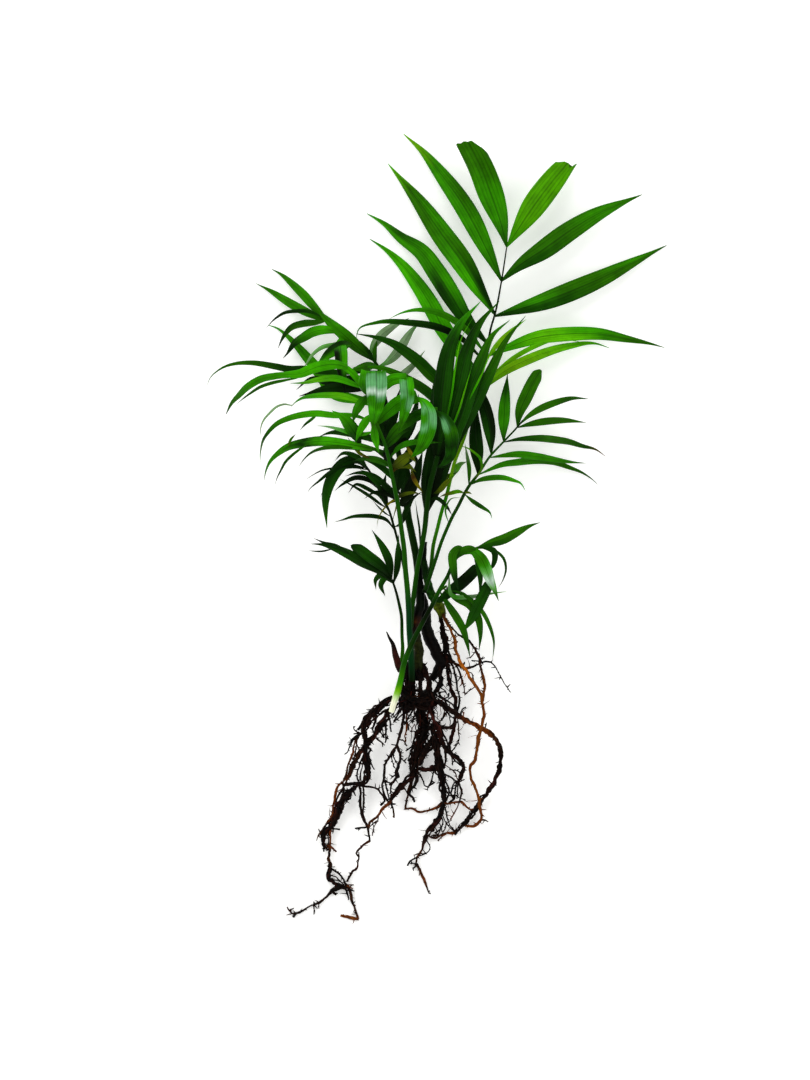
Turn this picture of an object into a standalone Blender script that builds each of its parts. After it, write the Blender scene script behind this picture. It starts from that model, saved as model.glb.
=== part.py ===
# Parlor palm lifted out of its pot with bare roots, lying on a flat surface
# Points and sizes are in millimetres
# +Y runs along the stalks to the top leaves and +Z faces up from the surface
import math

import bmesh
import bpy
import numpy as np

MM = 0.001
BLADE_STATIONS = 9
STALK_STATIONS = 11
EXTRA_STATIONS = 2
# Thickness of a leaflet as a share of half its width, for broad and for narrow ones
BROAD_THICKNESS = 0.10
NARROW_THICKNESS = 0.24
NARROW_WIDTH = 7.0
# Least half width of a leaflet at its base and at its tip, as shares of the widest place
BASE_SHARE = 0.14
TIP_SHARE = 0.05
# How early a lance-shaped leaflet is widest and how full it is
PEAK_POWER = 0.85
FULLNESS = 1.0
# Where a blunt leaflet is widest and how wide it still is at its end
BLUNT_RISE = 0.35
BLUNT_END = 0.62
# Where an arching leaflet is widest and how late it narrows
ARCH_RISE = 0.3
ARCH_POWER = 3.0
WELD = 0.00001
SURFACE_ROUGHNESS = 0.5
CROWN_SUBDIVISIONS = 2
# Side roots: length, width, rise for each unit of length, and radii from base to tip as shares of the width
SPUR_LENGTH = 5.5
SPUR_WIDTH = 1.1
SPUR_RISE = 0.12
SPUR_TAPER = (0.5, 0.4, 0.2)
# Short steps between two stations of a line, and steps at its end where no branch may start
LINE_STEPS = 12
END_STEPS = 4
SQUARE_TURN = 0.3
TRIANGLE_TURN = 0.5

LEAF = (0.10, 0.33, 0.03)
DARK_LEAF = (0.03, 0.14, 0.02)
STALK = (0.09, 0.22, 0.04)
CANE = (0.12, 0.09, 0.03)
BARK = (0.02, 0.016, 0.014)
ROOT = (0.05, 0.03, 0.015)
ORANGE_ROOT = (0.30, 0.12, 0.02)

# Leaflets of their own: name, colour, width, heights from base to tip, points of the middle line
# and kind of outline
BLADES = [
    ("top_frond_leaflet_left_1", LEAF, 19, (22, 26, 20),
     [(52, 215), (47.5, 231), (41, 251), (33, 271), (23.5, 290.5)], "blunt"),
    ("top_frond_leaflet_right_1", LEAF, 19, (22, 25, 14),
     [(55, 215), (63, 227), (73.5, 242), (87, 260), (100, 276)], "blunt"),
    ("top_frond_leaflet_left_2", LEAF, 15, (22, 18, 0.4),
     [(46, 189), (39, 207), (22, 239), (2, 267), (-10, 282), (-24, 295)], "lance"),
    ("top_frond_leaflet_right_2", LEAF, 15.5, (22, 22, 6),
     [(52, 187.5), (62, 197), (80.5, 209), (100, 223), (120.5, 235.5), (143, 246), (155, 251)], "lance"),
    ("top_frond_leaflet_left_3", LEAF, 17, (21, 16, 1),
     [(42, 164), (33, 178), (19.5, 200), (5, 220), (-12, 244), (-35.5, 273)], "lance"),
    ("top_frond_leaflet_right_3", LEAF, 15, (21, 17, 0.4),
     [(48, 160), (60, 164), (80, 170), (100, 177.5), (122, 187), (149, 200.5), (173.5, 213)], "lance"),
    ("top_frond_leaflet_left_4", LEAF, 15, (20, 14, 1),
     [(37, 141), (22, 158), (12, 174), (0, 193), (-11, 208), (-26, 218.5), (-40, 230), (-52, 237)],
     "lance"),
    ("top_frond_leaflet_right_4", LEAF, 11, (18, 20, 3),
     [(45, 131), (52, 135), (75, 143), (100, 146), (123, 146), (143, 142.5), (163, 138.5), (172, 136)],
     "lance"),
    ("top_frond_leaflet_left_5", DARK_LEAF, 13, (19, 12, 4, 0.4),
     [(30, 116), (15, 136), (4, 153), (-3.5, 167), (-15, 185), (-27, 200), (-38, 210), (-50, 218)],
     "lance"),
    ("top_frond_leaflet_right_5", LEAF, 7.5, (19, 22, 5),
     [(36, 105), (42, 111), (50, 117), (72, 128), (100, 137), (120, 139), (131, 135.5)], "lance"),
    ("top_frond_leaflet_left_6", DARK_LEAF, 9.5, (19, 25, 24, 22),
     [(26, 98), (15, 105), (-2, 114), (-12, 124), (-22, 132), (-33, 139), (-44, 143), (-60, 146)],
     "lance"),
    ("top_frond_leaflet_left_7", DARK_LEAF, 7.5, (24, 27, 25, 22),
     [(16, 70), (5, 92), (-10, 105), (-20, 111), (-30, 116), (-40, 120), (-52, 121), (-63, 121)],
     "lance"),
    ("top_frond_leaflet_left_arching", DARK_LEAF, 5, (21, 30, 33, 30),
     [(33, 126), (15, 145), (0, 151), (-20, 154), (-45, 154), (-58, 149), (-60, 140)], "lance"),
    ("spear_frond_leaflet_1", DARK_LEAF, 13, (58, 63, 62),
     [(-1, 56), (3, 80), (5.5, 110), (10, 135), (18, 152), (33, 169)], "lance"),
    ("spear_frond_leaflet_2", DARK_LEAF, 12, (56, 59, 56),
     [(3, 56), (10, 80), (17, 108), (23, 132), (32, 152), (47, 169.5)], "lance"),
    ("spear_frond_leaflet_3", LEAF, 11, (53.5, 54.5, 51),
     [(6, 55), (16, 76), (25, 103), (34, 127), (42, 144), (55, 155.5)], "lance"),
    ("spear_frond_leaflet_4", DARK_LEAF, 9.5, (50.5, 49, 45),
     [(8, 52), (17, 70), (29, 93), (40, 116), (52, 140), (67, 159)], "lance"),
    ("right_frond_leaflet_end", DARK_LEAF, 9.5, (38, 38, 36),
     [(62, 82), (63, 88), (68, 100), (74, 112), (79, 119)], "blunt"),
    ("right_frond_leaflet_left_2", LEAF, 9, (39, 38, 32),
     [(50.5, 67), (50.5, 75), (51, 88), (52, 100), (53.5, 116)], "lance"),
    ("right_frond_leaflet_right_2", LEAF, 5.6, (38, 32, 16),
     [(63, 76), (70, 78), (85, 80.5), (95, 81), (113, 79.5)], "lance"),
    ("right_frond_leaflet_left_3", LEAF, 10, (42, 42, 38),
     [(41.5, 58), (40.5, 70), (38.5, 82), (35, 95), (30, 108), (26.5, 118)], "lance"),
    ("right_frond_leaflet_right_3", LEAF, 5.6, (39, 34, 14, 0.4),
     [(53, 65), (60, 66.5), (75, 67.5), (90, 66.5), (100, 65), (110, 62), (120, 59.5), (128, 54)],
     "lance"),
    ("right_frond_leaflet_left_4", DARK_LEAF, 10.5, (41, 35, 28),
     [(30.5, 44), (31, 52), (30, 63), (29.5, 75), (30, 86), (31, 94)], "lance"),
    ("right_frond_leaflet_right_4", LEAF, 5.6, (40, 34, 12),
     [(43, 53), (50, 54.5), (60, 55.5), (75, 54), (90, 51.5), (100, 50), (113, 49)], "lance"),
    ("right_frond_leaflet_right_5", LEAF, 5.6, (36, 26, 8, 0.4),
     [(34, 41.5), (40, 44), (50, 48), (60, 49.5), (75, 51), (90, 49.5), (100, 46), (110, 42),
     (117, 37.5), (122, 33)], "lance"),
    ("front_frond_drooper_1", LEAF, 15, (87, 99, 102, 95, 86),
     [(-42, 116), (-44, 118), (-45, 112), (-44.6, 104), (-44.6, 95), (-45.5, 85), (-46.5, 78),
     (-45.5, 68), (-42.5, 56)], "arching"),
    ("front_frond_drooper_2", LEAF, 10.5, (86, 90, 94.5, 91, 84),
     [(-44, 99), (-40, 105), (-33, 110), (-25, 112), (-21.8, 104), (-21.5, 97), (-23, 89), (-25, 81),
     (-28, 72)], "arching"),
    ("front_frond_drooper_3", LEAF, 11.5, (81, 85.5, 88, 84, 76),
     [(-42, 81), (-36, 86.5), (-28, 93), (-18, 97.5), (-9, 93), (-6, 86.5), (-5.6, 79), (-6.6, 72),
     (-9, 65), (-13, 58), (-18.5, 53)], "arching"),
    ("front_frond_drooper_4", LEAF, 10, (76, 79.5, 81, 77, 68),
     [(-35, 66), (-30, 73), (-20, 80.5), (-10, 85.5), (0, 87), (6, 82), (9.5, 75), (11.5, 68),
     (11.5, 61), (10, 54), (6.5, 49), (1.5, 46)], "arching"),
    ("front_frond_leaflet_left_3", LEAF, 6, (78, 70, 44),
     [(-51, 82), (-62, 84), (-75, 85), (-90, 86), (-100, 85.5), (-110, 82), (-118, 79), (-125, 72),
     (-129, 66), (-131, 58), (-131.5, 48)], "lance"),
    ("front_frond_leaflet_left_4", LEAF, 7.5, (73, 66, 36),
     [(-42, 58), (-62, 62), (-75, 64), (-85, 66), (-100, 64.5), (-110, 62), (-118, 57), (-124, 50),
     (-127.5, 42), (-128.5, 34)], "lance"),
    ("front_frond_leaflet_left_long", LEAF, 7.5, (88, 90, 74, 46),
     [(-52, 107), (-63, 115), (-70, 121), (-82, 122), (-92, 119.5), (-100, 115), (-110, 114),
     (-120, 113), (-130, 111), (-140, 105.5), (-147, 99), (-152, 94), (-157, 85)], "lance"),
    ("back_frond_leaflet_tip", LEAF, 7, (15.4, 9, 0.4),
     [(-87, 162), (-92, 167), (-99, 175), (-107, 183), (-117, 191.5), (-124, 195.5)], "lance"),
    ("back_frond_leaflet_left_1", LEAF, 6.5, (15.4, 10, 0.4),
     [(-88.5, 158.5), (-96, 161.5), (-104, 166), (-114, 172), (-125, 179), (-135.5, 184.5)], "lance"),
    ("back_frond_leaflet_straight", LEAF, 9, (13, 11, 0.4),
     [(-43, 96), (-60, 97), (-77, 102), (-86, 115), (-92, 123), (-98, 130), (-105, 138), (-113, 146),
     (-120, 151), (-126, 153)], "lance"),
    ("back_frond_leaflet_long", DARK_LEAF, 5, (17, 24, 14, 0.4),
     [(-47, 118), (-75, 117), (-100, 119.5), (-110, 119), (-120, 121.5), (-140, 124.5), (-150, 124),
     (-158, 122), (-165, 118), (-170, 113), (-172, 108)], "lance"),
    ("back_frond_leaflet_drooping", DARK_LEAF, 9.5, (17, 33, 35, 32),
     [(-72, 144.5), (-71.5, 138), (-71, 130), (-70, 115), (-68, 100)], "lance"),
]

# Stalks and canes: name, colour, heights, widths, points
STALKS = [
    ("top_frond_stalk", STALK, (41, 37, 28, 19, 17, 18, 20), (2.8, 2.8, 2.6, 2.2, 1.8, 1.4, 1.0),
     [(-6, -40), (-4, -30), (-2, -12), (1, 0), (4, 12), (8, 25), (11, 38), (14, 50), (20, 65), (30, 100),
     (38, 130), (41, 150), (44, 160), (49, 185), (53, 211)]),
    ("spear_frond_stalk", STALK, (39, 46, 55), (3.6, 3.4, 2.8),
     [(-18, -60), (-16, -45), (-14, -30), (-11, -15), (-8.5, 0), (-7, 15), (-5, 30), (-1, 46), (1, 54)]),
    ("right_frond_stalk", STALK, (47, 45, 40, 37), (2.6, 2.6, 1.8, 1.2),
     [(-4, -38), (0, -22), (4, -10), (9, 2), (12, 8.5), (16.5, 16.7), (21, 25.7), (25, 32.4), (31, 40),
     (40, 53.6), (50, 64.4), (60.6, 75.7), (65, 81)]),
    ("front_frond_stalk", STALK, (36, 48, 57, 67, 80, 84), (4.6, 4.2, 3.6, 3.0, 2.4, 2.0),
     [(-18, -114), (-19, -90), (-20, -75), (-20.5, -60), (-21.5, -45), (-23, -30), (-24, -15), (-26, 0),
     (-28, 15), (-31, 30), (-34, 45), (-38, 62), (-44, 77), (-48, 92), (-50, 105), (-48, 115)]),
    ("back_frond_stalk", STALK, (30, 22, 16, 12, 14), (5, 4.6, 3.4, 2.4, 1.4),
     [(-12, -44), (-15, -20), (-18, -5), (-21, 10), (-22, 20), (-25, 40), (-31, 70), (-39, 100),
     (-45, 124), (-50, 130), (-62, 139), (-74.5, 150), (-84.5, 159)]),
    ("lower_left_frond_stalk", DARK_LEAF, (27, 30, 36), (2, 1.9, 1.4),
     [(-20, -50), (-24, -30), (-26, -20), (-29, -8), (-32, 3), (-35, 13), (-42, 27), (-48, 40),
     (-54, 49)]),
    ("small_leaf_stalk", STALK, (33, 34, 37), (2.6, 2.4, 1.6),
     [(-25.5, -98), (-25, -90), (-25.5, -80), (-26, -65), (-28, -55), (-30, -47), (-33, -38)]),
    ("lower_right_frond_stalk", STALK, (41, 50, 58, 60, 60), (5.4, 3.8, 3.4, 3, 1.6),
     [(-33, -137), (-33, -127), (-29, -120), (-27, -112), (-25, -103), (-22, -95), (-17, -82),
     (-11, -70), (-5, -55), (0, -45), (5, -37), (10, -29), (15, -22), (22, -18), (31, -14)]),
    ("seedling_leaf_stalk", STALK, (44, 46), (2.6, 1.8), [(-0.5, -50.5), (3, -46), (8, -43)]),
    ("seedling_cane", CANE, (31, 33), (8.5, 5.4, 4.6, 4.2),
     [(3.5, -63), (2, -58), (-1, -52), (-4, -46), (-7, -38), (-10, -26)]),
    ("main_cane", CANE, (26, 31, 31), (7.6, 7.2, 7, 6),
     [(-13, -113.5), (-13, -103), (-13, -90), (-16, -78), (-15, -70), (-13, -62), (-12, -46.5)]),
    ("dark_rhizome", BARK, (20, 21, 20), (5, 8.5, 9, 8),
     [(-5, -112), (1, -106), (4, -102), (0, -95), (-4, -85), (-7, -75), (-7, -62)]),
    ("dry_sheath", CANE, (40, 41, 42), (3.6, 3, 1), [(-28.5, -103), (-30, -95), (-33, -87), (-37, -78)]),
]

# Small leaflets grown in one with the stalk named first
GROWN_LEAFLETS = {
    "top_frond_stalk": [
        (4, (18, 28, 30, 28),
         [(38, 130), (20, 151), (6, 160), (-4, 163), (-17, 163.5), (-27, 161), (-35, 157)]),
    ],
    "right_frond_stalk": [
        (4, (42, 40, 34), [(25, 32.4), (32, 36), (42, 38), (50, 38), (58, 36), (63, 34), (67, 28)]),
        (5, (37.5, 36, 26), [(62, 77.5), (69, 84), (75, 88), (90, 94.5), (102, 97.5), (115, 97)]),
        (3, (42, 44, 42), [(23.5, 32), (24.6, 45.5), (23, 55), (21.4, 64)]),
        (3.4, (44, 43, 38), [(19, 20), (28, 20), (35, 15.5), (40, 12), (42, 7)]),
    ],
    "front_frond_stalk": [
        (4.5, (84, 80, 64),
         [(-49.5, 102), (-60, 107), (-75, 112), (-88, 111.5), (-97, 108), (-109, 108)]),
        (5, (81, 74, 52),
         [(-47.5, 90), (-58, 95), (-68, 99), (-80, 99.5), (-92, 99), (-100, 97.5), (-105, 94),
         (-108.5, 90.5)]),
    ],
    "back_frond_stalk": [
        (9, (13, 14.3, 14.2, 13.4, 12.6),
         [(-46, 125), (-57, 134.5), (-68, 144.5), (-80, 155), (-90, 165)]),
        (5, (14, 24, 16),
         [(-81, 156), (-90, 154.5), (-100, 153.5), (-108, 151), (-113, 146), (-116, 141),
         (-118.5, 135)]),
        (6.5, (13, 20, 12),
         [(-70, 146), (-76, 148), (-85, 149), (-92, 147.5), (-100, 143), (-105, 140), (-112, 131),
         (-115, 127.5)]),
        (5, (12, 10, 6), [(-45, 123), (-38, 124), (-30, 131), (-24, 140), (-18, 149), (-11, 155)]),
        (4, (12, 16, 12), [(-50, 130), (-44, 139), (-38, 146), (-30, 152), (-22, 158)]),
    ],
    "lower_left_frond_stalk": [
        (7.5, (36, 42, 42, 40),
         [(-50, 43.5), (-59, 50), (-67, 49.5), (-74, 43.5), (-79.5, 34), (-82.5, 22), (-82.5, 12),
         (-81.5, 1)]),
        (3.2, (29, 32, 28),
         [(-31, -2), (-38, 7), (-45, 9), (-55, 9.5), (-62, 9), (-70, 6.5), (-77, 4.5)]),
        (3, (32, 36, 34), [(-36, 15), (-42, 21), (-50, 26), (-60, 32), (-70, 36)]),
        (3, (33, 39, 38), [(-40, 23), (-45, 35), (-52, 41), (-60, 41.5), (-68, 39)]),
    ],
    "small_leaf_stalk": [
        (7.5, (37, 42, 38), [(-33, -38), (-40, -29), (-50, -21), (-58, -15), (-64, -12.5)]),
        (6.5, (36, 38, 30),
         [(-32, -40), (-45, -30), (-55, -25), (-65, -19.5), (-75, -15), (-85, -12), (-94, -11.5)]),
        (6, (37, 44, 42), [(-33, -38), (-36, -22), (-41, -12), (-48, -1)]),
        (4, (36, 35, 30), [(-31.5, -41), (-40, -36), (-45, -38), (-45, -45)]),
    ],
    "lower_right_frond_stalk": [
        (7, (60, 62, 56), [(30, -14.5), (40, -11), (50, -8), (60, -3), (70, 2), (77.5, 4.5)]),
        (6.5, (60, 66, 68, 62),
         [(23, -17.5), (17, -14.5), (13, -19), (11.8, -27), (13.5, -37), (17.5, -47)]),
        (8, (60, 66, 62, 54),
         [(20, -19), (27, -18), (33, -24), (37, -31), (40, -38), (43, -46), (46.5, -54)]),
        (3.4, (60, 58, 48), [(28, -15), (40, -15), (50, -22), (52, -30), (50, -38), (46, -45)]),
    ],
    "seedling_leaf_stalk": [
        (6.5, (46, 47, 44), [(5, -45), (14, -41), (22, -35), (32, -27)]),
        (7.5, (45, 50, 48, 40), [(6, -44), (15, -52), (25, -57), (31, -66), (33, -78), (32, -92)]),
        (6, (45, 46, 42, 34), [(4, -46), (9, -57), (15, -66), (20, -75), (23, -85), (25.5, -97)]),
        (4, (46, 54, 52, 46),
         [(7, -43.5), (18, -48), (27, -54), (35, -63), (40, -73), (43, -84), (42, -99)]),
    ],
}

# Roots: name, colour, then each branch as heights, widths and points, the first being the main one
ROOTS = [
    ("root_left_outer", BARK, [
        ((24, 20, 14, 8, 4, 1.3), (7, 5.4, 4, 3, 2.6),
         [(-31, -130), (-40, -133), (-48, -139), (-57, -152), (-62, -168), (-68, -188), (-75, -206),
         (-81, -222), (-85, -237), (-80, -250), (-80, -262), (-68, -268), (-61, -284), (-60, -292),
         (-70, -292)]),
        ((6, 3, 1.2), (3, 2), [(-69, -267), (-78, -274), (-92, -282), (-107, -289), (-113, -291)]),
        ((22, 18, 14), (4.4, 3), [(-41, -135), (-47, -150), (-55, -165), (-60, -178), (-69, -190)]),
    ]),
    ("root_left_inner", BARK, [
        ((29, 26, 22, 12, 6), (3.6, 3.2, 3, 2.4),
         [(-37, -146), (-47, -158), (-50, -178), (-53, -192), (-57, -205), (-53.5, -215), (-51, -225),
         (-52, -235), (-57, -245), (-61, -254), (-66, -261)]),
        ((24, 20), (2.6, 2), [(-52, -188), (-60, -196), (-68, -201), (-77, -208)]),
        ((18, 20, 14), (2.4, 2), [(-50, -230), (-49, -220), (-44, -214), (-37, -207), (-33, -200)]),
    ]),
    ("root_left_thin", BARK, [
        ((18, 14, 8), (3, 2.2, 1.8),
         [(-24, -136.5), (-27, -150), (-29, -160), (-33, -168), (-39, -182), (-38, -193), (-35, -199),
         (-33, -217)]),
        ((13, 18, 12), (2, 1.6), [(-29, -160), (-27, -172), (-29, -185), (-35, -199)]),
    ]),
    ("root_middle", BARK, [
        ((12, 8, 5), (8, 7, 4), [(-10, -139), (-13, -155), (-16, -170), (-17, -180), (-21, -188)]),
        ((6, 3, 2), (3, 2.2),
         [(-17, -181), (-21, -193), (-23, -210), (-14, -212), (-5, -212), (8, -207)]),
    ]),
    ("root_right_inner", ROOT, [
        ((30, 24, 18, 8, 1.2), (4.6, 4, 3, 2.2, 1.6),
         [(-2, -140), (3, -155), (7, -165), (13, -172), (20, -182), (15, -196), (6, -212), (-4, -228),
         (-13, -245), (-16, -252), (-7, -270), (-5, -274)]),
        ((27, 22, 16, 12, 10), (5, 6, 5.6, 3.6),
         [(-2, -141), (-2, -158), (1, -168), (4, -180), (6, -192), (8, -203)]),
    ]),
    ("root_right_arc", BARK, [
        ((32, 20, 5, 1.6), (4.2, 3.6, 3, 2.6),
         [(7, -129), (18, -139), (35, -150), (46, -163), (48, -174), (43, -192), (31, -210), (17, -225),
         (5, -230), (-3, -230)]),
    ]),
    ("root_orange", ORANGE_ROOT, [
        ((34, 37, 36, 32, 24, 15, 4), (3.6, 3, 2.6),
         [(7, -70), (12, -78), (17, -97), (26, -113), (34, -126), (36, -142), (32, -160), (28, -176),
         (28.5, -191), (32.5, -205), (31.5, -216), (24, -224)]),
    ]),
    ("root_right_dark", BARK, [
        ((26, 22, 16, 12), (3.2, 3.6, 3),
         [(4.5, -69), (5, -85), (9.5, -100), (12, -112), (17, -130), (18, -140), (14, -150),
         (10, -158)]),
        ((24, 26, 20), (2.2, 1.8),
         [(9, -98), (22, -105), (30, -103), (41, -100), (47, -108), (56, -122)]),
    ]),
]

# Lumps of the root crown: centre and half sizes
CROWN_LUMPS = [
    ((-10, -127, 26), (15, 12, 16)),
    ((-24, -128, 24), (7, 9, 9)),
    ((2, -124, 22), (6, 8, 8)),
]

# Short side roots: the root that bears them, share of the way along it, bearing in degrees
SPURS = {
    "root_left_outer":
     [(0.12, 250), (0.25, 200), (0.36, 330), (0.45, 190), (0.56, 350), (0.66, 200), (0.8, 20)],
    "root_left_inner": [(0.15, 340), (0.3, 200), (0.45, 20), (0.62, 330), (0.8, 180)],
    "root_left_thin": [(0.3, 10), (0.6, 200), (0.85, 320)],
    "root_middle": [(0.3, 200), (0.5, 340), (0.75, 200)],
    "root_right_inner": [(0.2, 20), (0.45, 350), (0.6, 190), (0.75, 330), (0.88, 200)],
    "root_right_arc": [(0.15, 60), (0.3, 350), (0.5, 10), (0.65, 340), (0.8, 250)],
    "root_orange": [(0.31, 20), (0.52, 10), (0.68, 200), (0.83, 330)],
    "root_right_dark": [(0.5, 200), (0.7, 340)],
}


def smooth(points, count):
    """Evenly spaced points on a smooth line through the given ones."""
    p = np.array(points, float)
    gap = np.linalg.norm(np.diff(p, axis=0), axis=1)
    u = np.concatenate(([0.0], np.cumsum(gap)))
    slope = np.gradient(p, u, axis=0)
    t = np.linspace(0.0, u[-1], count)
    i = np.clip(np.searchsorted(u, t, side="right") - 1, 0, len(u) - 2)
    h = (u[i + 1] - u[i])[:, None]
    s = (t - u[i])[:, None] / h
    ends = (1 + 2 * s) * (1 - s) ** 2 * p[i] + s**2 * (3 - 2 * s) * p[i + 1]
    return ends + s * (1 - s) ** 2 * h * slope[i] + s**2 * (s - 1) * h * slope[i + 1]


def spread(values, shares):
    """Values given evenly along a line, read at the given shares of it."""
    return np.interp(shares, np.linspace(0.0, 1.0, len(values)), values)


def route(points, heights, count):
    """The plan points with heights along them, as a smooth line in space."""
    p = np.array(points, float)
    gap = np.linalg.norm(np.diff(p, axis=0), axis=1)
    share = np.concatenate(([0.0], np.cumsum(gap))) / gap.sum()
    return smooth(np.column_stack([p, spread(heights, share)]), count)


def blade_shape(shares, kind):
    """Half width of a leaflet along its length, 1 where it is widest."""
    floor = BASE_SHARE + (TIP_SHARE - BASE_SHARE) * shares
    if kind == "blunt":
        rise = np.clip(shares / BLUNT_RISE, 0.0, 1.0) ** PEAK_POWER
        late = np.clip((shares - BLUNT_RISE) / (1.0 - BLUNT_RISE), 0.0, 1.0)
        return np.maximum(BASE_SHARE, rise * (1.0 - (1.0 - BLUNT_END) * late**2))
    if kind == "arching":
        rise = np.clip(shares / ARCH_RISE, 0.0, 1.0)
        return np.maximum(floor, rise * (1.0 - shares**ARCH_POWER))
    return np.maximum(floor, np.sin(math.pi * shares**PEAK_POWER) ** FULLNESS)


def material(name, colour):
    """A plain Principled material of that colour."""
    found = bpy.data.materials.new(name)
    found.use_nodes = True
    shader = found.node_tree.nodes["Principled BSDF"]
    shader.inputs["Base Color"].default_value = (*colour, 1.0)
    shader.inputs["Roughness"].default_value = SURFACE_ROUGHNESS
    return found


def profile(name, corners, collection):
    """A closed outline that a curve carries along its route."""
    data = bpy.data.curves.new(name, "CURVE")
    line = data.splines.new("POLY")
    line.points.add(len(corners) - 1)
    for point, corner in zip(line.points, corners):
        point.co = (corner[0], corner[1], 0.0, 1.0)
    line.use_cyclic_u = True
    made = bpy.data.objects.new(name, data)
    collection.objects.link(made)
    made.hide_render = True
    return made


def swept(name, line, radii, outline, collection):
    """The outline carried along the line and scaled by the radii, as a closed mesh."""
    data = bpy.data.curves.new(name + "_route", "CURVE")
    data.dimensions = "3D"
    data.twist_mode = "Z_UP"
    data.bevel_mode = "OBJECT"
    data.bevel_object = outline
    data.use_fill_caps = True
    path = data.splines.new("POLY")
    path.points.add(len(line) - 1)
    for point, place, radius in zip(path.points, line, radii):
        point.co = (*(place * MM), 1.0)
        point.radius = radius * MM
    holder = bpy.data.objects.new(name + "_route", data)
    collection.objects.link(holder)
    bpy.context.view_layer.update()
    shown = holder.evaluated_get(bpy.context.evaluated_depsgraph_get())
    mesh = bpy.data.meshes.new_from_object(shown)
    mesh.name = name
    bpy.data.objects.remove(holder)
    work = bmesh.new()
    work.from_mesh(mesh)
    bmesh.ops.remove_doubles(work, verts=work.verts, dist=WELD)
    bmesh.ops.recalc_face_normals(work, faces=work.faces)
    bmesh.ops.triangulate(work, faces=work.faces, quad_method="SHORT_EDGE")
    work.to_mesh(mesh)
    work.free()
    mesh.materials.clear()
    return mesh


def lump(name, centre, halves):
    """A rounded lump of the root crown."""
    work = bmesh.new()
    bmesh.ops.create_icosphere(work, subdivisions=CROWN_SUBDIVISIONS, radius=1.0)
    for vert in work.verts:
        vert.co = [(c + h * v) * MM for c, h, v in zip(centre, halves, vert.co)]
    mesh = bpy.data.meshes.new(name)
    work.to_mesh(mesh)
    work.free()
    return mesh


def place(name, mesh, collection, paint):
    """The mesh as an object of its own in the collection."""
    made = bpy.data.objects.new(name, mesh)
    mesh.materials.append(paint)
    collection.objects.link(made)
    return made


def fuse(base, meshes, cutters, paint):
    """Joins the meshes to the base with exact unions, so that they are one body."""
    for number, mesh in enumerate(meshes, 1):
        piece = place(f"{base.name}_joined_{number}", mesh, cutters, paint)
        piece.hide_render = True
        piece.display_type = "WIRE"
        joint = base.modifiers.new(f"join_{number}", "BOOLEAN")
        joint.operation = "UNION"
        joint.solver = "EXACT"
        joint.use_self = True
        joint.object = piece


def blade_mesh(name, width, heights, points, kind, outlines, cutters):
    """A leaflet that is widest near its middle and thin across."""
    line = route(points, heights, BLADE_STATIONS)
    radii = blade_shape(np.linspace(0.0, 1.0, BLADE_STATIONS), kind) * width / 2
    outline = outlines["narrow" if width < NARROW_WIDTH else "broad"]
    return swept(name, line, radii, outline, cutters)


def fine_line(line):
    """The straight pieces between the stations, cut into short steps."""
    steps = np.linspace(0.0, len(line) - 1.0, (len(line) - 1) * LINE_STEPS + 1)
    stations = np.arange(len(line))
    return np.column_stack([np.interp(steps, stations, line[:, axis]) for axis in range(3)])


def rooted(line, heights, points):
    """The heights and points of a branch whose first point is moved onto the line that bears it."""
    bearer = fine_line(line)[:-END_STEPS]
    first = bearer[np.argmin(np.hypot(*(bearer[:, :2] - np.array(points[0])).T))]
    return (first[2], *heights[1:]), [tuple(first[:2]), *points[1:]]


def tube_mesh(name, widths, heights, points, outline, cutters, stations):
    """A round stalk or root whose width changes along it."""
    line = route(points, heights, stations)
    radii = spread(widths, np.linspace(0.0, 1.0, stations)) / 2
    return swept(name, line, radii, outline, cutters)


def spur_mesh(name, line, share, bearing, outline, cutters):
    """A short side root that leaves a root's line at a share of its length."""
    bearer = fine_line(line)
    start = bearer[int(round(share * (len(bearer) - 1)))]
    turn = math.radians(bearing)
    reach = np.array([math.cos(turn), math.sin(turn), SPUR_RISE]) * SPUR_LENGTH
    ends = np.array([start, start + reach / 2, start + reach])
    ends[:, 2] = np.maximum(ends[:, 2], SPUR_WIDTH)
    return swept(name, ends, [share * SPUR_WIDTH for share in SPUR_TAPER], outline, cutters)


def ring(corners, start=0.0):
    """The corners of an even outline of radius 1."""
    turns = [start + math.tau * k / corners for k in range(corners)]
    return [(math.cos(a), math.sin(a)) for a in turns]


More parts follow.
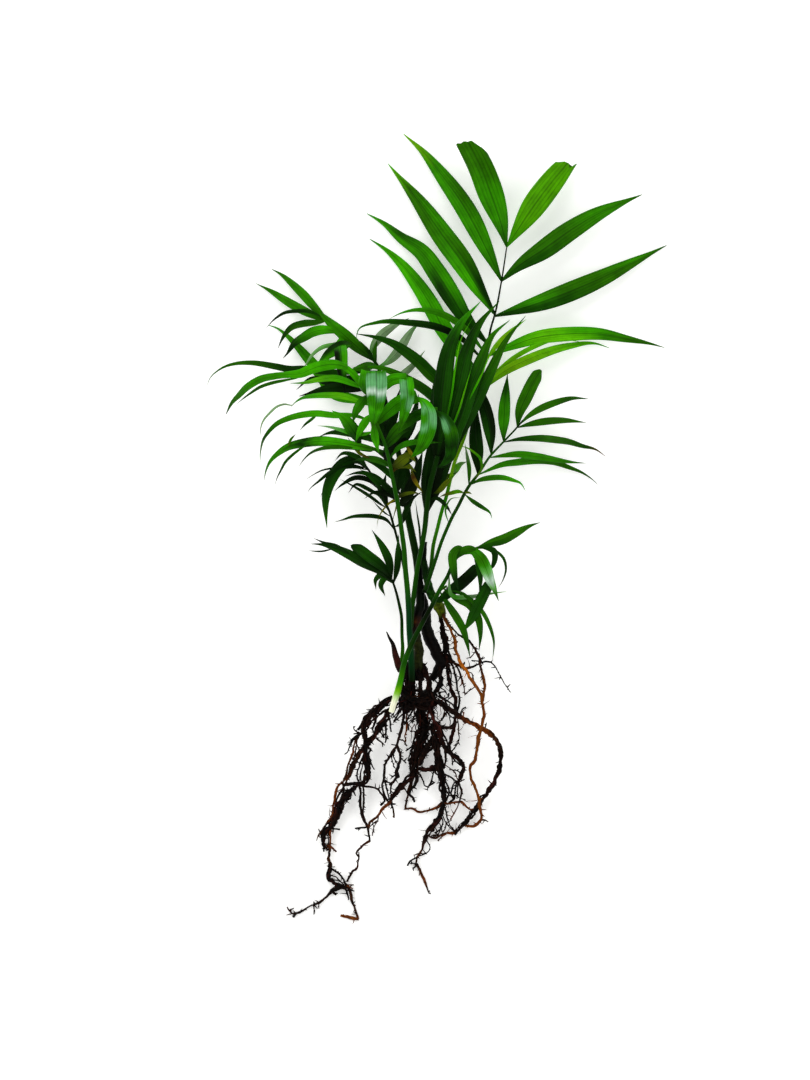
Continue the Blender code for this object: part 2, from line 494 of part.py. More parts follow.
def main():
    """Builds every separate piece of the plant."""
    for old in list(bpy.data.objects):
        bpy.data.objects.remove(old)
    plant = bpy.data.collections.new("parlor_palm")
    cutters = bpy.data.collections.new("joined_pieces")
    bpy.context.scene.collection.children.link(plant)
    bpy.context.scene.collection.children.link(cutters)
    broad, narrow = BROAD_THICKNESS / 2, NARROW_THICKNESS / 2
    outlines = {
        "broad": profile("broad_outline", [(-1, -broad), (1, -broad), (1, broad), (-1, broad)], cutters),
        "narrow": profile("narrow_outline",
         [(-1, -narrow), (1, -narrow), (1, narrow), (-1, narrow)], cutters),
        "round": profile("round_outline", ring(6), cutters),
        "square": profile("square_outline", ring(4, SQUARE_TURN), cutters),
        "three": profile("three_outline", ring(3, TRIANGLE_TURN), cutters),
    }
    for name, colour, width, heights, points, kind in BLADES:
        mesh = blade_mesh(name, width, heights, points, kind, outlines, cutters)
        place(name, mesh, plant, material(name + "_green", colour))
    for name, colour, heights, widths, points in STALKS:
        paint = material(name + "_skin", colour)
        mesh = tube_mesh(name, widths, heights, points, outlines["round"], cutters, STALK_STATIONS)
        base = place(name, mesh, plant, paint)
        line = route(points, heights, STALK_STATIONS)
        small = [
            blade_mesh(f"{name}_leaflet", width, *rooted(line, levels, path), "lance", outlines, cutters)
            for width, levels, path in GROWN_LEAFLETS.get(name, [])
        ]
        fuse(base, small, cutters, paint)
    for name, colour, branches in ROOTS:
        paint = material(name + "_skin", colour)
        heights, widths, points = branches[0]
        count = len(points) + EXTRA_STATIONS
        line = route(points, heights, count)
        meshes = [tube_mesh(name, widths, heights, points, outlines["round"], cutters, count)]
        for heights, widths, points in branches[1:]:
            grown = rooted(line, heights, points)
            count = len(points) + EXTRA_STATIONS
            meshes.append(tube_mesh(f"{name}_side", widths, *grown, outlines["square"], cutters, count))
        for share, bearing in SPURS.get(name, []):
            meshes.append(spur_mesh(f"{name}_spur", line, share, bearing, outlines["three"], cutters))
        base = place(name, meshes[0], plant, paint)
        fuse(base, meshes[1:], cutters, paint)
    lumps = [lump("root_crown", *spot) for spot in CROWN_LUMPS]
    paint = material("root_crown_skin", BARK)
    fuse(place("root_crown", lumps[0], plant, paint), lumps[1:], cutters, paint)


main()
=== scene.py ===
# Parlor palm with bare roots, lying on a pale surface and seen from above
import math

import bpy
import numpy as np
from bpy.props import FloatProperty, FloatVectorProperty, IntProperty, PointerProperty
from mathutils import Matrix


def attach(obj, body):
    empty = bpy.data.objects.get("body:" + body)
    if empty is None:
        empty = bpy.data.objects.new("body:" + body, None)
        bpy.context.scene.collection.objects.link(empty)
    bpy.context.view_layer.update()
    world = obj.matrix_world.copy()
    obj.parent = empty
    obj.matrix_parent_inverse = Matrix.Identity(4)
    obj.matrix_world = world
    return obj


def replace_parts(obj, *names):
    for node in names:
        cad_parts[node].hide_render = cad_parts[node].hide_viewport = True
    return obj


bl_info = {
    "name": "Bare-root Parlor Palm",
    "version": (1, 0, 0),
    "blender": (4, 5, 0),
    "location": "View3D > Sidebar > Parlor Palm",
    "description": "Builds the leaves, stalks, canes and roots of a small palm lying on a table",
    "category": "Add Mesh",
}

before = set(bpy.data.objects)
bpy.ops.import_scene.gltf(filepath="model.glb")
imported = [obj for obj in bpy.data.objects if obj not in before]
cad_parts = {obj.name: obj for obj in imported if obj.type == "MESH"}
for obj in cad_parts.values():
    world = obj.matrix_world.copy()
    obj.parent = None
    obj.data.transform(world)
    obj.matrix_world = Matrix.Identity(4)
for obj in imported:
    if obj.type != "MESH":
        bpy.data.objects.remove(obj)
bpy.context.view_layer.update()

MM, CM = 0.001, 0.01
UP = np.array([0.0, 0.0, 1.0])
# The photo's height and scale, and the place in the plant's own frame that its centre shows
PHOTO_HEIGHT_PX = 1080
PHOTO_MM_PER_PIXEL = 0.75
PHOTO_CENTRE_MM = (-23.25, -8.6, 18.0)
# Lowest place of any point of the plant over the table, and the table's half width, in metres
TABLE_GAP = 0.00015
TABLE_HALF_WIDTH = 6.0

# Soft lamps round the plant: name, place in metres, size in metres and share of the key light's power
LAMPS = [
    ("key_light", (-0.9, 1.7, 1.8), 2.2, 1.0),
    ("left_light", (-2.0, -0.6, 1.7), 2.2, 0.75),
    ("fill_light", (1.9, -0.3, 1.8), 2.2, 0.75),
]

# Places are in millimetres in the plant's own frame: +Y runs along the stalks and heights are over the table.
# A blade is its width, its tones from base to tip (left/right of the middle vein where they differ, mostly painted
# light on one half and painted shade on the other), its heights and the points of its middle line as x, y, x, y and so
# on, and its outline where it isn't a lance. Tones and heights are spread evenly along it.

# Leaflets that stand for a node of their own: the node, then its blades
TOP_LEAFLETS = [
    ("top_frond_leaflet_left_1", (19.5, "deep leaf leaf mid mid", (20.4, 26, 24, 20), [53.5, 212, 48, 231, 41, 251,
      33, 272, 22.5, 292.5], "hooked")),
    ("top_frond_leaflet_right_1", (18.5, "leaf olive_leaf olive_leaf olive_leaf", (20.4, 25, 20, 14), [53.5, 211,
      62, 225, 73.5, 242, 87, 260, 102.5, 279], "notched")),
    ("top_frond_leaflet_left_2", (15, "deep leaf leaf/mid leaf lime", (19.4, 19, 10, 0.4), [49, 185, 39, 207, 22, 240,
      2, 268.5, -10, 283.5, -24.5, 297])),
    ("top_frond_leaflet_right_2", (15.5, "deep mid/deep mid leaf mid", (19.4, 23, 17, 6), [49, 185, 62, 197,
      80.5, 209, 100, 223, 120.5, 235.5, 143, 246, 155, 251])),
    # Near its base the left half is painted lit and the right half shaded: painted light and painted shade
    ("top_frond_leaflet_left_3", (17, "dark bright/dark leaf/mid mid/leaf mid fresh", (18.4, 18, 10, 1), [44, 160,
      33, 178, 19.5, 200, 5, 220, -12.4, 245, -36, 274.5])),
    # Near its base the lower half is painted darker: a neighbour leaf's painted shadow
    ("top_frond_leaflet_right_3", (15, "dark leaf/deep mid/deep mid leaf/mid mid", (18.4, 19, 12, 0.4), [44, 159,
      60, 164, 80, 170, 100, 177.5, 122, 187, 149, 200.5, 173.5, 213])),
    ("top_frond_leaflet_left_4", (15, "dark deep dark/leaf leaf leaf/deep bright", (17.4, 16, 9, 1), [40, 138,
      22, 158, 12, 174, 0, 193, -11, 208, -26, 218.5, -40, 230, -52, 237])),
    ("top_frond_leaflet_right_4", (11, "bright bright fresh bright/fresh leaf mid mid", (17.2, 21, 14, 3), [38, 129,
      52, 135, 75, 143, 100, 146, 123, 146, 143, 142.5, 163, 138.5, 172, 136])),
    ("top_frond_leaflet_left_5", (13.5, "deep bright/leaf bright bright/leaf bright leaf", (17, 13, 6, 0.4), [35, 112,
      15, 136, 4, 153, -3.5, 167, -15, 185, -27, 200, -38, 210, -50, 218])),
    ("top_frond_leaflet_right_5", (7.5, "fresh lime fresh bright", (16.5, 22, 15, 5), [32, 98, 42, 111, 50, 117,
      72, 128, 100, 137, 120, 139, 131, 135.5])),
    ("top_frond_leaflet_left_6", (9.5, "dark mid/deep deep deep", (18, 25, 24, 22), [26, 92, 15, 104, -2, 114,
      -12, 124, -22, 132, -33, 139, -44, 143, -60, 146])),
    ("top_frond_leaflet_left_7", (7.5, "black deep mid leaf", (20, 27, 25, 22), [20, 66, 5, 91, -10, 105, -20, 111,
      -30, 116, -40, 120, -52, 121, -63, 121])),
    ("top_frond_leaflet_left_arching", (5.5, "dark black deep leaf", (17, 29, 33, 30), [37, 125, 15, 145, 0, 151,
      -20, 154, -45, 154, -58, 149, -60, 140])),
]
SPEAR_LEAFLETS = [
    ("spear_frond_leaflet_1", (14, "black dark/deep dark/deep deep bright", (57, 63, 62), [0, 48, 3, 80, 5.5, 110,
      10, 135, 18, 152, 33, 169]),
     (1.6, "deep mid bright fresh bright", (60, 62, 64, 64), [1, 60, 6, 76, 9.5, 90, 11.5, 100, 14.5, 122, 19, 142,
      28, 158])),
    ("spear_frond_leaflet_2", (12.5, "black dark deep dark/deep mid", (56, 60, 57), [2, 50, 10, 80, 17, 108, 23, 132,
      32, 152, 47, 169.5]),
     (1.5, "deep leaf fresh bright", (57, 59, 60, 59), [5, 60, 12, 76, 17.5, 90, 21, 102, 27, 122])),
    ("spear_frond_leaflet_3", (11.5, "black dark/deep deep deep mid leaf", (54, 56, 52), [4, 50, 16, 76, 25, 103,
      34, 127, 42, 144, 55, 155.5]),
     (1.5, "deep bright fresh lime", (55, 56, 55, 53), [20, 88, 26.5, 100, 32.5, 112, 38.5, 126, 46, 139])),
    ("spear_frond_leaflet_4", (9.5, "black dark deep mid mid", (52, 50, 46), [5, 47, 17, 70, 29, 93, 40, 116, 52, 140,
      67, 159])),
]
RIGHT_LEAFLETS = [
    ("right_frond_leaflet_end", (10, "deep mid mid mid", (37.4, 38.5, 38, 36), [60, 76, 62.5, 87, 68, 100, 74, 112,
      78.5, 119], "blunt")),
    ("right_frond_leaflet_left_2", (9, "dark leaf leaf deep deep", (38.2, 38, 32), [50.5, 65, 50.5, 75, 51, 88,
      52, 100, 53.5, 116])),
    ("right_frond_leaflet_right_2", (5.6, "deep mid mid mid", (37.6, 34, 26, 16), [60, 75, 70, 78, 85, 80.5, 95, 81,
      113, 79.5])),
    ("right_frond_leaflet_left_3", (10, "dark deep/black dark/black dark dark", (39.6, 42, 42, 38), [41.5, 55,
      40.5, 70, 38.5, 82, 35, 95, 30, 108, 26.5, 118])),
    ("right_frond_leaflet_right_3", (5.6, "dark deep mid mid deep rust", (38.2, 34, 14, 0.4), [50, 64, 60, 66.5,
      75, 67.5, 90, 66.5, 100, 65, 110, 62, 120, 59.5, 128, 54])),
    ("right_frond_leaflet_left_4", (10.5, "black dark dark dark", (41, 38, 32, 28), [31, 41, 31, 52, 30, 63, 29.5, 75,
      30, 86, 31, 94])),
    ("right_frond_leaflet_right_4", (5.6, "mid leaf leaf mid", (39.8, 35, 24, 12), [40, 52.5, 50, 54.5, 60, 55.5,
      75, 54, 90, 51.5, 100, 50, 113, 49])),
    ("right_frond_leaflet_right_5", (5.6, "leaf leaf mid deep", (40.8, 27, 8, 0.4), [31, 40, 40, 44, 50, 48, 60, 49.5,
      75, 51, 90, 49.5, 100, 46, 110, 42, 117, 37.5, 122, 33])),
]
# The drooping leaflets carry painted highlights: the gloss tone is a whitish band below the top bend, and the sage tone
# paints the pale bend and soft lengthwise streaks on one side of the middle vein
FRONT_LEAFLETS = [
    ("front_frond_drooper_1", (15.6, "leaf sage sage sage gloss sage/leaf leaf leaf bright leaf leaf mid mid",
      (99, 103, 100, 95, 88, 85), [-44.5, 116.5, -44.3, 105, -44.5, 95, -45.5, 87, -46.5, 80, -47.5, 73], "strap"),
     (15, "mid leaf bright", (84, 92, 100), [-51, 98, -50.5, 107, -49, 116], "flap"),
     (6, "mid leaf bright leaf", (87, 86, 84), [-46.5, 78, -45.5, 68, -44, 61, -42.5, 56])),
    ("front_frond_drooper_2",
      (10.8, "bright bright/sage bright/sage leaf/sage sage/leaf sage/leaf leaf leaf mid mid deep",
      (91, 95, 92, 87, 83), [-22.5, 111.8, -21.8, 104, -21.5, 97, -23, 89, -25, 81, -28, 72], "strap"),
     (8.5, "mid bright bright leaf", (84, 88, 92.4), [-47, 96, -40, 105, -33, 110, -22, 111.5], "flap")),
    ("front_frond_drooper_3", (12, "leaf bright bright/sage sage/leaf sage/leaf leaf/sage leaf leaf mid leaf mid",
      (86, 88, 87, 84, 80, 76), [-14.5, 97.5, -9, 93, -6, 86.5, -5.6, 79, -6.6, 72, -9, 65, -13, 58, -18.5, 53],
      "sickle"),
     (10.5, "mid leaf bright/leaf leaf", (79, 83, 85.5), [-44, 78, -36, 86.5, -28, 93, -14, 98], "flap")),
    ("front_frond_drooper_4", (10.4, "deep deep deep/sage deep/sage mid deep dark deep dark deep dark",
      (80, 81, 80, 77, 73, 68), [-1, 87.5, 6, 82, 9.5, 75, 11.5, 68, 11.5, 61, 10, 54, 6.5, 49, 1.5, 46], "sickle"),
     (8.4, "dark mid deep mid", (74, 78, 79.5), [-37, 64, -30, 73, -20, 80.5, -10, 85.5, 1, 86.5], "flap")),
    ("front_frond_leaflet_left_3", (5, "mid bright bright leaf deep pale", (78, 72, 60, 44), [-44, 78, -62, 84,
      -75, 84, -90, 85.5, -100, 84.5, -110, 82, -118, 78.5, -125, 72, -129, 66, -131, 58, -131.5, 48]),
     (2.2, "leaf deep dark", (68, 66, 62), [-86, 84.5, -93, 81, -98, 77, -101.5, 73])),
    ("front_frond_leaflet_left_4", (7.5, "dark mid bright bright dark leaf leaf mid", (73, 68, 56, 36), [-37.5, 57,
      -62, 62, -75, 64, -85, 65, -100, 63.5, -110, 61, -118, 56, -124, 50, -127.5, 42, -128.5, 36]),
     (2.2, "mid deep dark", (64, 58, 44), [-94, 63, -103, 58, -108, 54, -112, 50, -116, 43, -119, 37, -120.5, 32]),
     (2, "olive mid olive", (58, 58, 54), [-112, 60, -108.5, 66, -104.5, 70.5])),
    ("front_frond_leaflet_left_long", (8, "leaf bright bright leaf leaf mid deep", (90, 90, 84, 72, 46), [-66, 119.5,
      -75, 121.5, -85, 120.5, -93, 118, -100, 115, -110, 114, -120, 113, -130, 111, -140, 105.5, -147, 99, -152, 94,
      -157, 85], "reed"),
     (5, "mid bright bright", (84, 88, 90), [-51, 103, -57, 109, -62, 115, -70, 121], "flap"),
     (2.6, "leaf mid deep", (80, 68, 50), [-102, 113, -112, 110, -120, 108.5, -130, 105.5, -140, 99.5, -150, 92])),
]
BACK_LEAFLETS = [
    ("back_frond_leaflet_tip", (7, "mid leaf leaf mid", (14, 9, 0.4), [-80, 155, -92, 167, -99, 175, -107, 183,
      -117, 191.5, -124, 195.5])),
    ("back_frond_leaflet_left_1", (7, "mid leaf leaf mid", (14, 10, 0.4), [-80, 154, -92, 160, -104, 166, -114, 172,
      -125, 179, -135.5, 184.5])),
    ("back_frond_leaflet_straight", (9.5, "deep bright bright leaf bright", (12.6, 11, 6, 0.4), [-38.5, 95, -60, 97,
      -77, 102, -86, 115, -92, 123, -98, 130, -105, 138, -113, 146, -120, 151, -126, 153])),
    ("back_frond_leaflet_long", (5.4, "dark deep dark mid mid", (13, 24, 14, 0.4), [-44, 118, -75, 117, -100, 119.5,
      -110, 119.5, -120, 121.5, -140, 124.5, -150, 124, -158, 122, -165, 118, -170, 113, -172, 108])),
    # Its upper part is painted lit and its lower part near black: painted light and painted shade
    ("back_frond_leaflet_drooping", (10, "mid bright bright/black bright/black black black", (13.5, 33, 35, 32),
      [-70, 146, -71.5, 138, -71, 130, -70, 115, -68, 100])),
]

# Stalks: node, then its widths, tones, heights and points and the small blades that grow from it
STALKS = {
    "top_frond_stalk": ((3.4, 2.8, 2.8, 2.6, 2.2, 1.8, 1.4, 1.0),
     "black dark mid leaf leaf lime lime leaf deep dark black black black black black", (41, 37, 28, 19, 17, 18, 20),
     [-9, -48, -4, -30, -2, -12, 1, 0, 4, 12, 8, 25, 11, 38, 14, 50, 20, 65, 30, 100, 38, 130, 41, 150, 44, 160,
      49, 185, 53, 211],
     [(5.2, "leaf mid leaf bright", (17, 28, 30, 28), [38, 130, 20, 151, 6, 160, -4, 163, -17, 163.5, -27, 161,
       -35, 157]),
      (3.8, "lime fresh bright", (17, 22, 18, 10), [36, 110, 47, 119, 57, 127, 75, 137, 90, 142, 110, 140]),
      (4, "fresh lime fresh", (17, 24, 24), [38, 126, 46, 138, 55, 147, 68, 157]),
      (5, "pale fresh pale", (22, 27, 28), [11, 38, 14, 43, 18, 48, 23, 50]),
      (4.6, "olive olive mid", (24, 28, 28), [3, 34, 8, 39, 16, 42])]),
    "spear_frond_stalk": ((4, 3.6, 4, 4), "dark deep dark dark", (37, 39, 46, 55),
     [-19, -74, -18, -60, -16, -45, -14, -30, -11, -15, -8.5, 0, -7, 15, -5, 30, -1, 46, 1, 54],
     [(9, "black dark black", (45, 50, 55), [-9, 8, -7, 35, -3, 62, 0, 88]),
      (9, "black black dark", (41, 46, 50, 53), [-7.4, 10, -3, 24, 0, 40, 5, 62, 9, 86]),
      (8, "black dark black", (41, 45, 48, 51), [-7, 13, -1, 25, 5, 42, 12, 62, 17, 84]),
      (7, "black dark deep", (54, 58, 58), [-1, 48, -2, 80, 0, 108, 4, 132]),
      (7, "dark deep mid", (52, 52, 49), [3, 46, 13, 68, 24, 88, 34, 104]),
      (4.2, "dark olive olive leaf", (46, 52, 54, 52), [-5, 26, 2, 28, 8, 34.5, 15, 41]),
      (3.2, "black dark black", (44, 50, 44, 38), [-7, 20, 0, 22.6, 6.5, 18, 12.3, 9.3]),
      (1.6, "black dark black", (38, 42, 46), [-11.5, -18, -12.5, 0, -14.3, 12, -15.6, 22])]),
    "right_frond_stalk": ((3, 2.6, 2.6, 1.8, 1.2), "dark deep dark deep black", (46, 45, 40, 37),
     [-8, -46, 0, -22, 4, -10, 9, 2, 12, 8.5, 16.5, 16.7, 21, 25.7, 25, 32.4, 31, 40, 40, 53.6, 50, 64.4, 60.6, 75.7,
      65, 81],
     [(5.4, "mid mid deep", (37.4, 37, 34, 26), [62, 77.5, 69, 84, 75, 88, 90, 94.5, 102, 97.5, 115, 97]),
      (4.4, "deep mid leaf bright bright", (41.5, 40, 36, 34), [25, 32.4, 32, 36, 42, 38, 50, 38, 58, 36, 63, 34,
       67, 28]),
      (3.2, "deep mid pale", (41.5, 44, 42), [24, 31.5, 24.6, 45.5, 23, 55, 21.4, 64]),
      (2, "olive leaf lime", (41, 48, 50, 46), [28, 37, 34, 45, 33, 52, 28, 57, 20, 61, 15, 60]),
      (3.4, "mid deep leaf", (44, 44, 41, 38), [21, 25.7, 28, 20, 35, 15.5, 40, 12, 42, 7]),
      (3.2, "olive olive_leaf olive olive", (44, 47, 47, 46), [21.5, 27, 16, 27.6, 11, 26.4, 6, 25, 2, 23.4]),
      (1.8, "olive olive olive", (44, 45, 44), [22, 27, 24.5, 26.8, 27, 25.5]),
      (1.4, "leaf mid pale", (44, 45, 44), [8, 4, 7, 14, 11, 22, 20, 23])]),
    "front_frond_stalk": ((4.8, 4.4, 3.8, 3.2, 2.6, 2.2),
     "black teal teal teal deep deep deep deep deep deep deep mid leaf leaf", (36, 48, 57, 67, 80, 84),
     [-18, -114, -19, -90, -20, -75, -20.5, -60, -21.5, -45, -23, -30, -24, -15, -26, 0, -28, 15, -31, 30, -34, 45,
      -38, 62, -44, 77, -48, 92, -50, 105, -48, 115],
     [(5, "bright bright fresh leaf", (83.5, 80, 64), [-49.5, 102, -60, 106.5, -75, 111.5, -88, 110.5, -97, 108.5,
       -109, 108]),
      (4.8, "bright fresh bright leaf", (81, 76, 68, 52), [-47.5, 90, -58, 94.5, -68, 98, -80, 99, -92, 98.5,
       -100, 97, -105, 94, -108.5, 90.5]),
      (7, "deep leaf deep", (83, 84, 80), [-49.5, 100, -55, 94, -60, 86, -62, 78]),
      (10, "black deep leaf bright", (70, 78, 82, 83), [-56, 62, -62, 73, -69, 82, -77.5, 87.5]),
      (3.4, "leaf bright pale", (76, 74, 70), [-46, 72, -60, 70, -70, 73, -80, 75.5, -89, 76.5]),
      (6, "dark deep dark", (74, 70, 64), [-38, 62, -52, 68, -66, 71, -80, 71, -88, 68]),
      (3.4, "deep mid dark", (70, 66, 54), [-48, 58, -62, 60, -75, 60.5, -85, 59.5, -93, 56.5, -99, 51, -102.5, 46]),
      (1.8, "pale pale pale", (62, 58, 50), [-107, 92, -113, 92.5, -118, 91, -124, 86, -129, 80, -131, 72, -130, 67]),
      (6, "leaf bright leaf", (80, 80, 78), [-46, 86, -52, 80, -57, 72, -60, 64]),
      (7, "dark mid dark", (73, 73, 70), [-37, 60, -33, 66, -26, 72, -18, 74]),
      (4.5, "deep leaf mid", (71, 72, 68), [-35, 52, -28, 60, -18, 64, -8, 64, 4, 64]),
      (8, "husk olive olive", (70, 69, 66), [-30, 47, -25, 51, -20, 54, -15, 49]),
      (6, "umber olive olive", (69, 66, 62), [-33, 42, -29, 47, -22, 47, -15, 42]),
      (2.6, "olive ochre umber", (67, 70, 71), [-16, 50, -19.5, 57, -24.5, 65]),
      (5, "deep mid dark", (69, 66, 60), [-34, 46, -44, 51, -54, 52, -62, 50]),
      # Leaflets that lie in shade behind the drooping ones, painted near black: painted shade
      (9, "black dark dark black", (74, 66, 64), [-38, 60, -36, 72, -31, 88, -27, 104]),
      (9, "black dark black dark", (74, 64, 62), [-39, 62, -43, 76, -41, 90, -37, 108]),
      (9, "black black dark black", (74, 64, 61), [-36, 56, -26, 66, -18, 80, -13, 100]),
      (8, "black black dark black", (70, 60, 58), [-34, 46, -36, 54, -33, 64, -24, 72]),
      (9, "black dark deep dark", (74, 66, 63), [-36, 55, -27, 66, -19, 80, -13, 93]),
      (9, "black dark deep dark", (70, 62, 60), [-33, 44, -20, 54, -12, 68, -7, 82]),
      (10, "black dark black", (64, 56, 54), [-30, 26, -27, 42, -20, 62]),
      (9, "black black dark", (62, 54, 52), [-29, 17, -21, 26, -15, 40, -10, 58]),
      (2.6, "umber olive dark", (71, 69, 66), [-50, 52, -57, 56, -62, 62, -66, 68]),
      (3.2, "olive umber ochre husk", (66, 64, 62, 60), [-18, 45, -17, 38, -13, 31, -9.5, 26]),
      (3, "olive husk olive umber", (58, 63, 62, 60), [-29.5, 22, -22, 26, -15, 26.4, -10.5, 25])]),
    "back_frond_stalk": ((6, 5.4, 4, 2.6, 1.6), "black dark black dark deep", (30, 22, 16, 12, 14),
     [-12, -50, -15, -20, -18, -5, -21, 10, -22, 20, -25, 40, -31, 70, -39, 100, -45, 124, -50, 130, -62, 139,
      -74.5, 150, -84.5, 159],
     [(5.4, "mid mid/deep black", (14, 24, 22, 16), [-81, 156, -90, 154.5, -100, 153.5, -108, 151, -113, 146,
       -116, 141, -118.5, 135]),
      (7.6, "mid bright leaf dark black", (13, 20, 18, 12), [-70, 146, -76, 148, -85, 149, -92, 147.5, -100, 143,
       -105, 140, -112, 131, -115, 127.5]),
      (3, "deep dark black", (14, 20, 14), [-83, 157.5, -96, 163, -105.5, 163, -113, 162, -120, 158, -128, 150]),
      (9.5, "dark mid leaf mid", (15, 17, 17, 15), [-46, 125, -57, 134.5, -68, 144.5, -80, 155, -92, 167]),
      (7.4, "leaf pale pale leaf", (12, 12, 9, 6), [-45, 121, -38, 124, -30, 131, -24, 140, -18, 149, -11, 156]),
      (7, "leaf pale pale leaf", (12, 16, 14, 12), [-51, 128, -47, 137, -41, 145, -32, 152, -20, 158]),
      (5.4, "mid pale pale pale", (12, 10, 9, 6), [-43, 112, -30, 113, -20, 120, -8, 134]),
      (3, "deep dark mid", (12, 15, 16), [-45, 124, -50, 132, -57, 141]),
      (3.4, "deep mid mid", (12, 16, 18), [-45, 124, -46, 132, -44, 142]),
      # A leaflet with a painted highlight, the sheen tone, along its middle
      (3.4, "deep sheen pale", (13, 22, 18, 16), [-62, 139, -70, 140, -76, 138, -85, 136, -92, 131, -97, 124,
       -100, 118]),
      (9, "mid bright/dark bright/dark leaf", (15, 26, 26, 22), [-62, 139, -72, 136, -80, 131, -90, 122]),
      (7, "leaf mid leaf", (14, 26, 28), [-45, 122, -54, 121, -66, 118]),
      (8, "black black dark black", (14, 24, 28, 26), [-42, 108, -60, 106, -80, 105, -103, 99]),
      (7, "dark dark black", (12, 14, 10), [-42, 108, -60, 112, -78, 110, -95, 112, -105, 104])]),
    # The low left frond lies in shade under the others, so its stalk and leaflets are mostly painted near black:
    # painted shade
    "lower_left_frond_stalk": ((2.2, 1.9, 1.4), "black black black", (27, 30, 36),
     [-20, -50, -24, -30, -26, -20, -29, -8, -32, 3, -35, 13, -42, 27, -48, 40, -54, 49],
     [(9, "black dark deep/dark deep mid", (36, 42, 42, 40), [-48, 44, -59, 51, -67, 50, -74, 43.5, -79.5, 34,
       -82.5, 22, -82.5, 12, -81.5, 0]),
      (3.4, "black dark deep", (30, 33, 32, 28), [-31, -2, -38, 7, -45, 9, -55, 9.5, -62, 9, -70, 6.5, -77, 4.5]),
      (2.6, "black dark black", (32, 36, 36, 34), [-36, 14, -40.5, 17.5, -50, 24.4, -61.4, 31.4, -72, 37]),
      (4, "black deep black", (33, 38, 39, 38), [-40, 23, -45, 35, -52, 41, -60, 41.5, -68, 39]),
      (1.7, "black dark dark", (36, 43, 42), [-51, 45, -62, 46, -77, 45, -85, 43.5, -92, 40, -98, 36]),
      (3, "black dark dark", (36, 44, 40), [-51, 45, -64, 47, -76, 44, -82, 40, -88, 35, -93, 31, -97, 26]),
      (2.8, "black dark dark", (36, 40, 36), [-51, 44, -64, 46, -74, 44, -80, 38, -83, 31, -87, 23]),
      (3, "black dark black", (33, 36, 34), [-40, 23, -52, 30, -60, 33, -66, 26]),
      (4, "black black dark", (34, 40, 40), [-43, 29, -50, 36, -60, 38, -70, 33, -76, 28]),
      (4, "black deep dark", (36, 44, 46), [-50, 43, -60, 54, -70, 56, -76, 50]),
      (5, "black dark deep", (34, 40, 42), [-30, 22, -38, 32, -47, 40, -57, 44]),
      (5, "black deep dark", (36, 42, 42), [-28, 32, -36, 42, -45, 48, -56, 52]),
      (5, "black dark mid", (36, 40, 40), [-26, 40, -33, 50, -42, 57, -52, 62]),
      (6, "black dark dark", (38, 44, 46), [-27, 26, -22, 40, -26, 52, -32, 60]),
      (6, "black black dark", (36, 42, 42), [-26, 18, -17, 34, -14, 48, -18, 60]),
      (2, "black dark dark", (34, 38, 38), [-34, 10, -42, 24, -49, 29.5, -56, 34]),
      (3, "black black dark", (34, 40, 42), [-29, 20, -38, 26, -46, 27, -54, 22]),
      (4.4, "black dark black", (32, 36, 34), [-29, 2, -22, 14, -18, 22, -10, 28]),
      (1.6, "olive ochre olive", (31, 34, 32), [-32, 5, -30, 22, -38, 16, -43, 8, -44.5, 0]),
      (1.4, "black dark dark", (30, 31, 30), [-34.5, 8.5, -38.2, 11.7, -43, 16, -47.5, 21]),
      (5, "black black dark", (32, 35, 35), [-36, 15, -38.5, 24, -39, 33, -37, 42])]),
    "small_leaf_stalk": ((3.4, 2.6, 2.4, 1.6), "leaf mid deep dark dark black black", (32, 33, 34, 37),
     [-26, -108, -25.5, -98, -25, -90, -25.5, -80, -26, -65, -28, -55, -30, -47, -33, -38],
     [(8, "black dark deep dark", (37, 42, 38), [-33, -38, -40, -29, -50, -21, -58, -15, -64, -12.5], "blunt"),
      (8, "black dark deep dark", (36, 38, 34, 30), [-32, -40, -45, -30, -55, -25, -65, -19.5, -75, -15, -85, -12,
       -94, -11.5]),
      (6.4, "black dark deep dark", (37, 44, 42), [-33, -38, -36, -22, -41, -12, -48, -1]),
      (5, "black dark deep", (36, 42, 42), [-31, -41, -29, -28, -28.5, -15, -28, -4]),
      (3, "dark dark dark", (35, 36, 32), [-62, -21, -75, -13, -84, -10.5, -92, -7]),
      (1.4, "black dark dark", (33, 32, 30), [-76, -15.5, -85, -17, -97, -16.5]),
      (4.6, "dark deep dark", (36, 35, 30), [-31.5, -41, -40, -34, -45, -38, -45, -46]),
      (4.6, "dark deep dark", (36, 35, 30), [-31.5, -41, -38, -37, -41, -41, -38, -51])]),
    # This stalk's cream lower end is a painted highlight, and the sheen and gloss tones on its broad drooping leaflet
    # are a painted highlight
    "lower_right_frond_stalk": ((4.2, 5, 4.2, 4, 3.8, 3.4, 3.2, 2.8, 2.4, 1.6),
     "cream cream lime leaf mid deep deep dark dark dark black black dark deep deep dark deep deep mid mid",
     (41, 50, 58, 60, 60),
     [-33.3, -137, -31.9, -131.4, -29.2, -123.2, -26.4, -112.2, -24.1, -101.2, -18.9, -87.5, -10.7, -71.1, -2.5, -56,
      3, -45, 8.5, -35.5, 12, -27, 15, -22, 22, -18, 31, -14],
     [(7.4, "deep mid/deep mid mid", (60, 62, 56), [30, -14.5, 40, -11, 50, -8, 60, -3, 70, 2, 77.5, 4.5]),
      (6.6, "deep mid mid dark dark", (60, 66, 68, 62), [23, -17.5, 17, -14.5, 12.4, -19, 12.4, -27, 14, -37,
       17, -47]),
      (9, "mid leaf leaf mid leaf sheen gloss sheen mid mid", (60, 66, 62, 54), [19, -19, 27, -17, 33, -22, 37, -30,
       40, -38, 43.5, -46, 46.5, -54]),
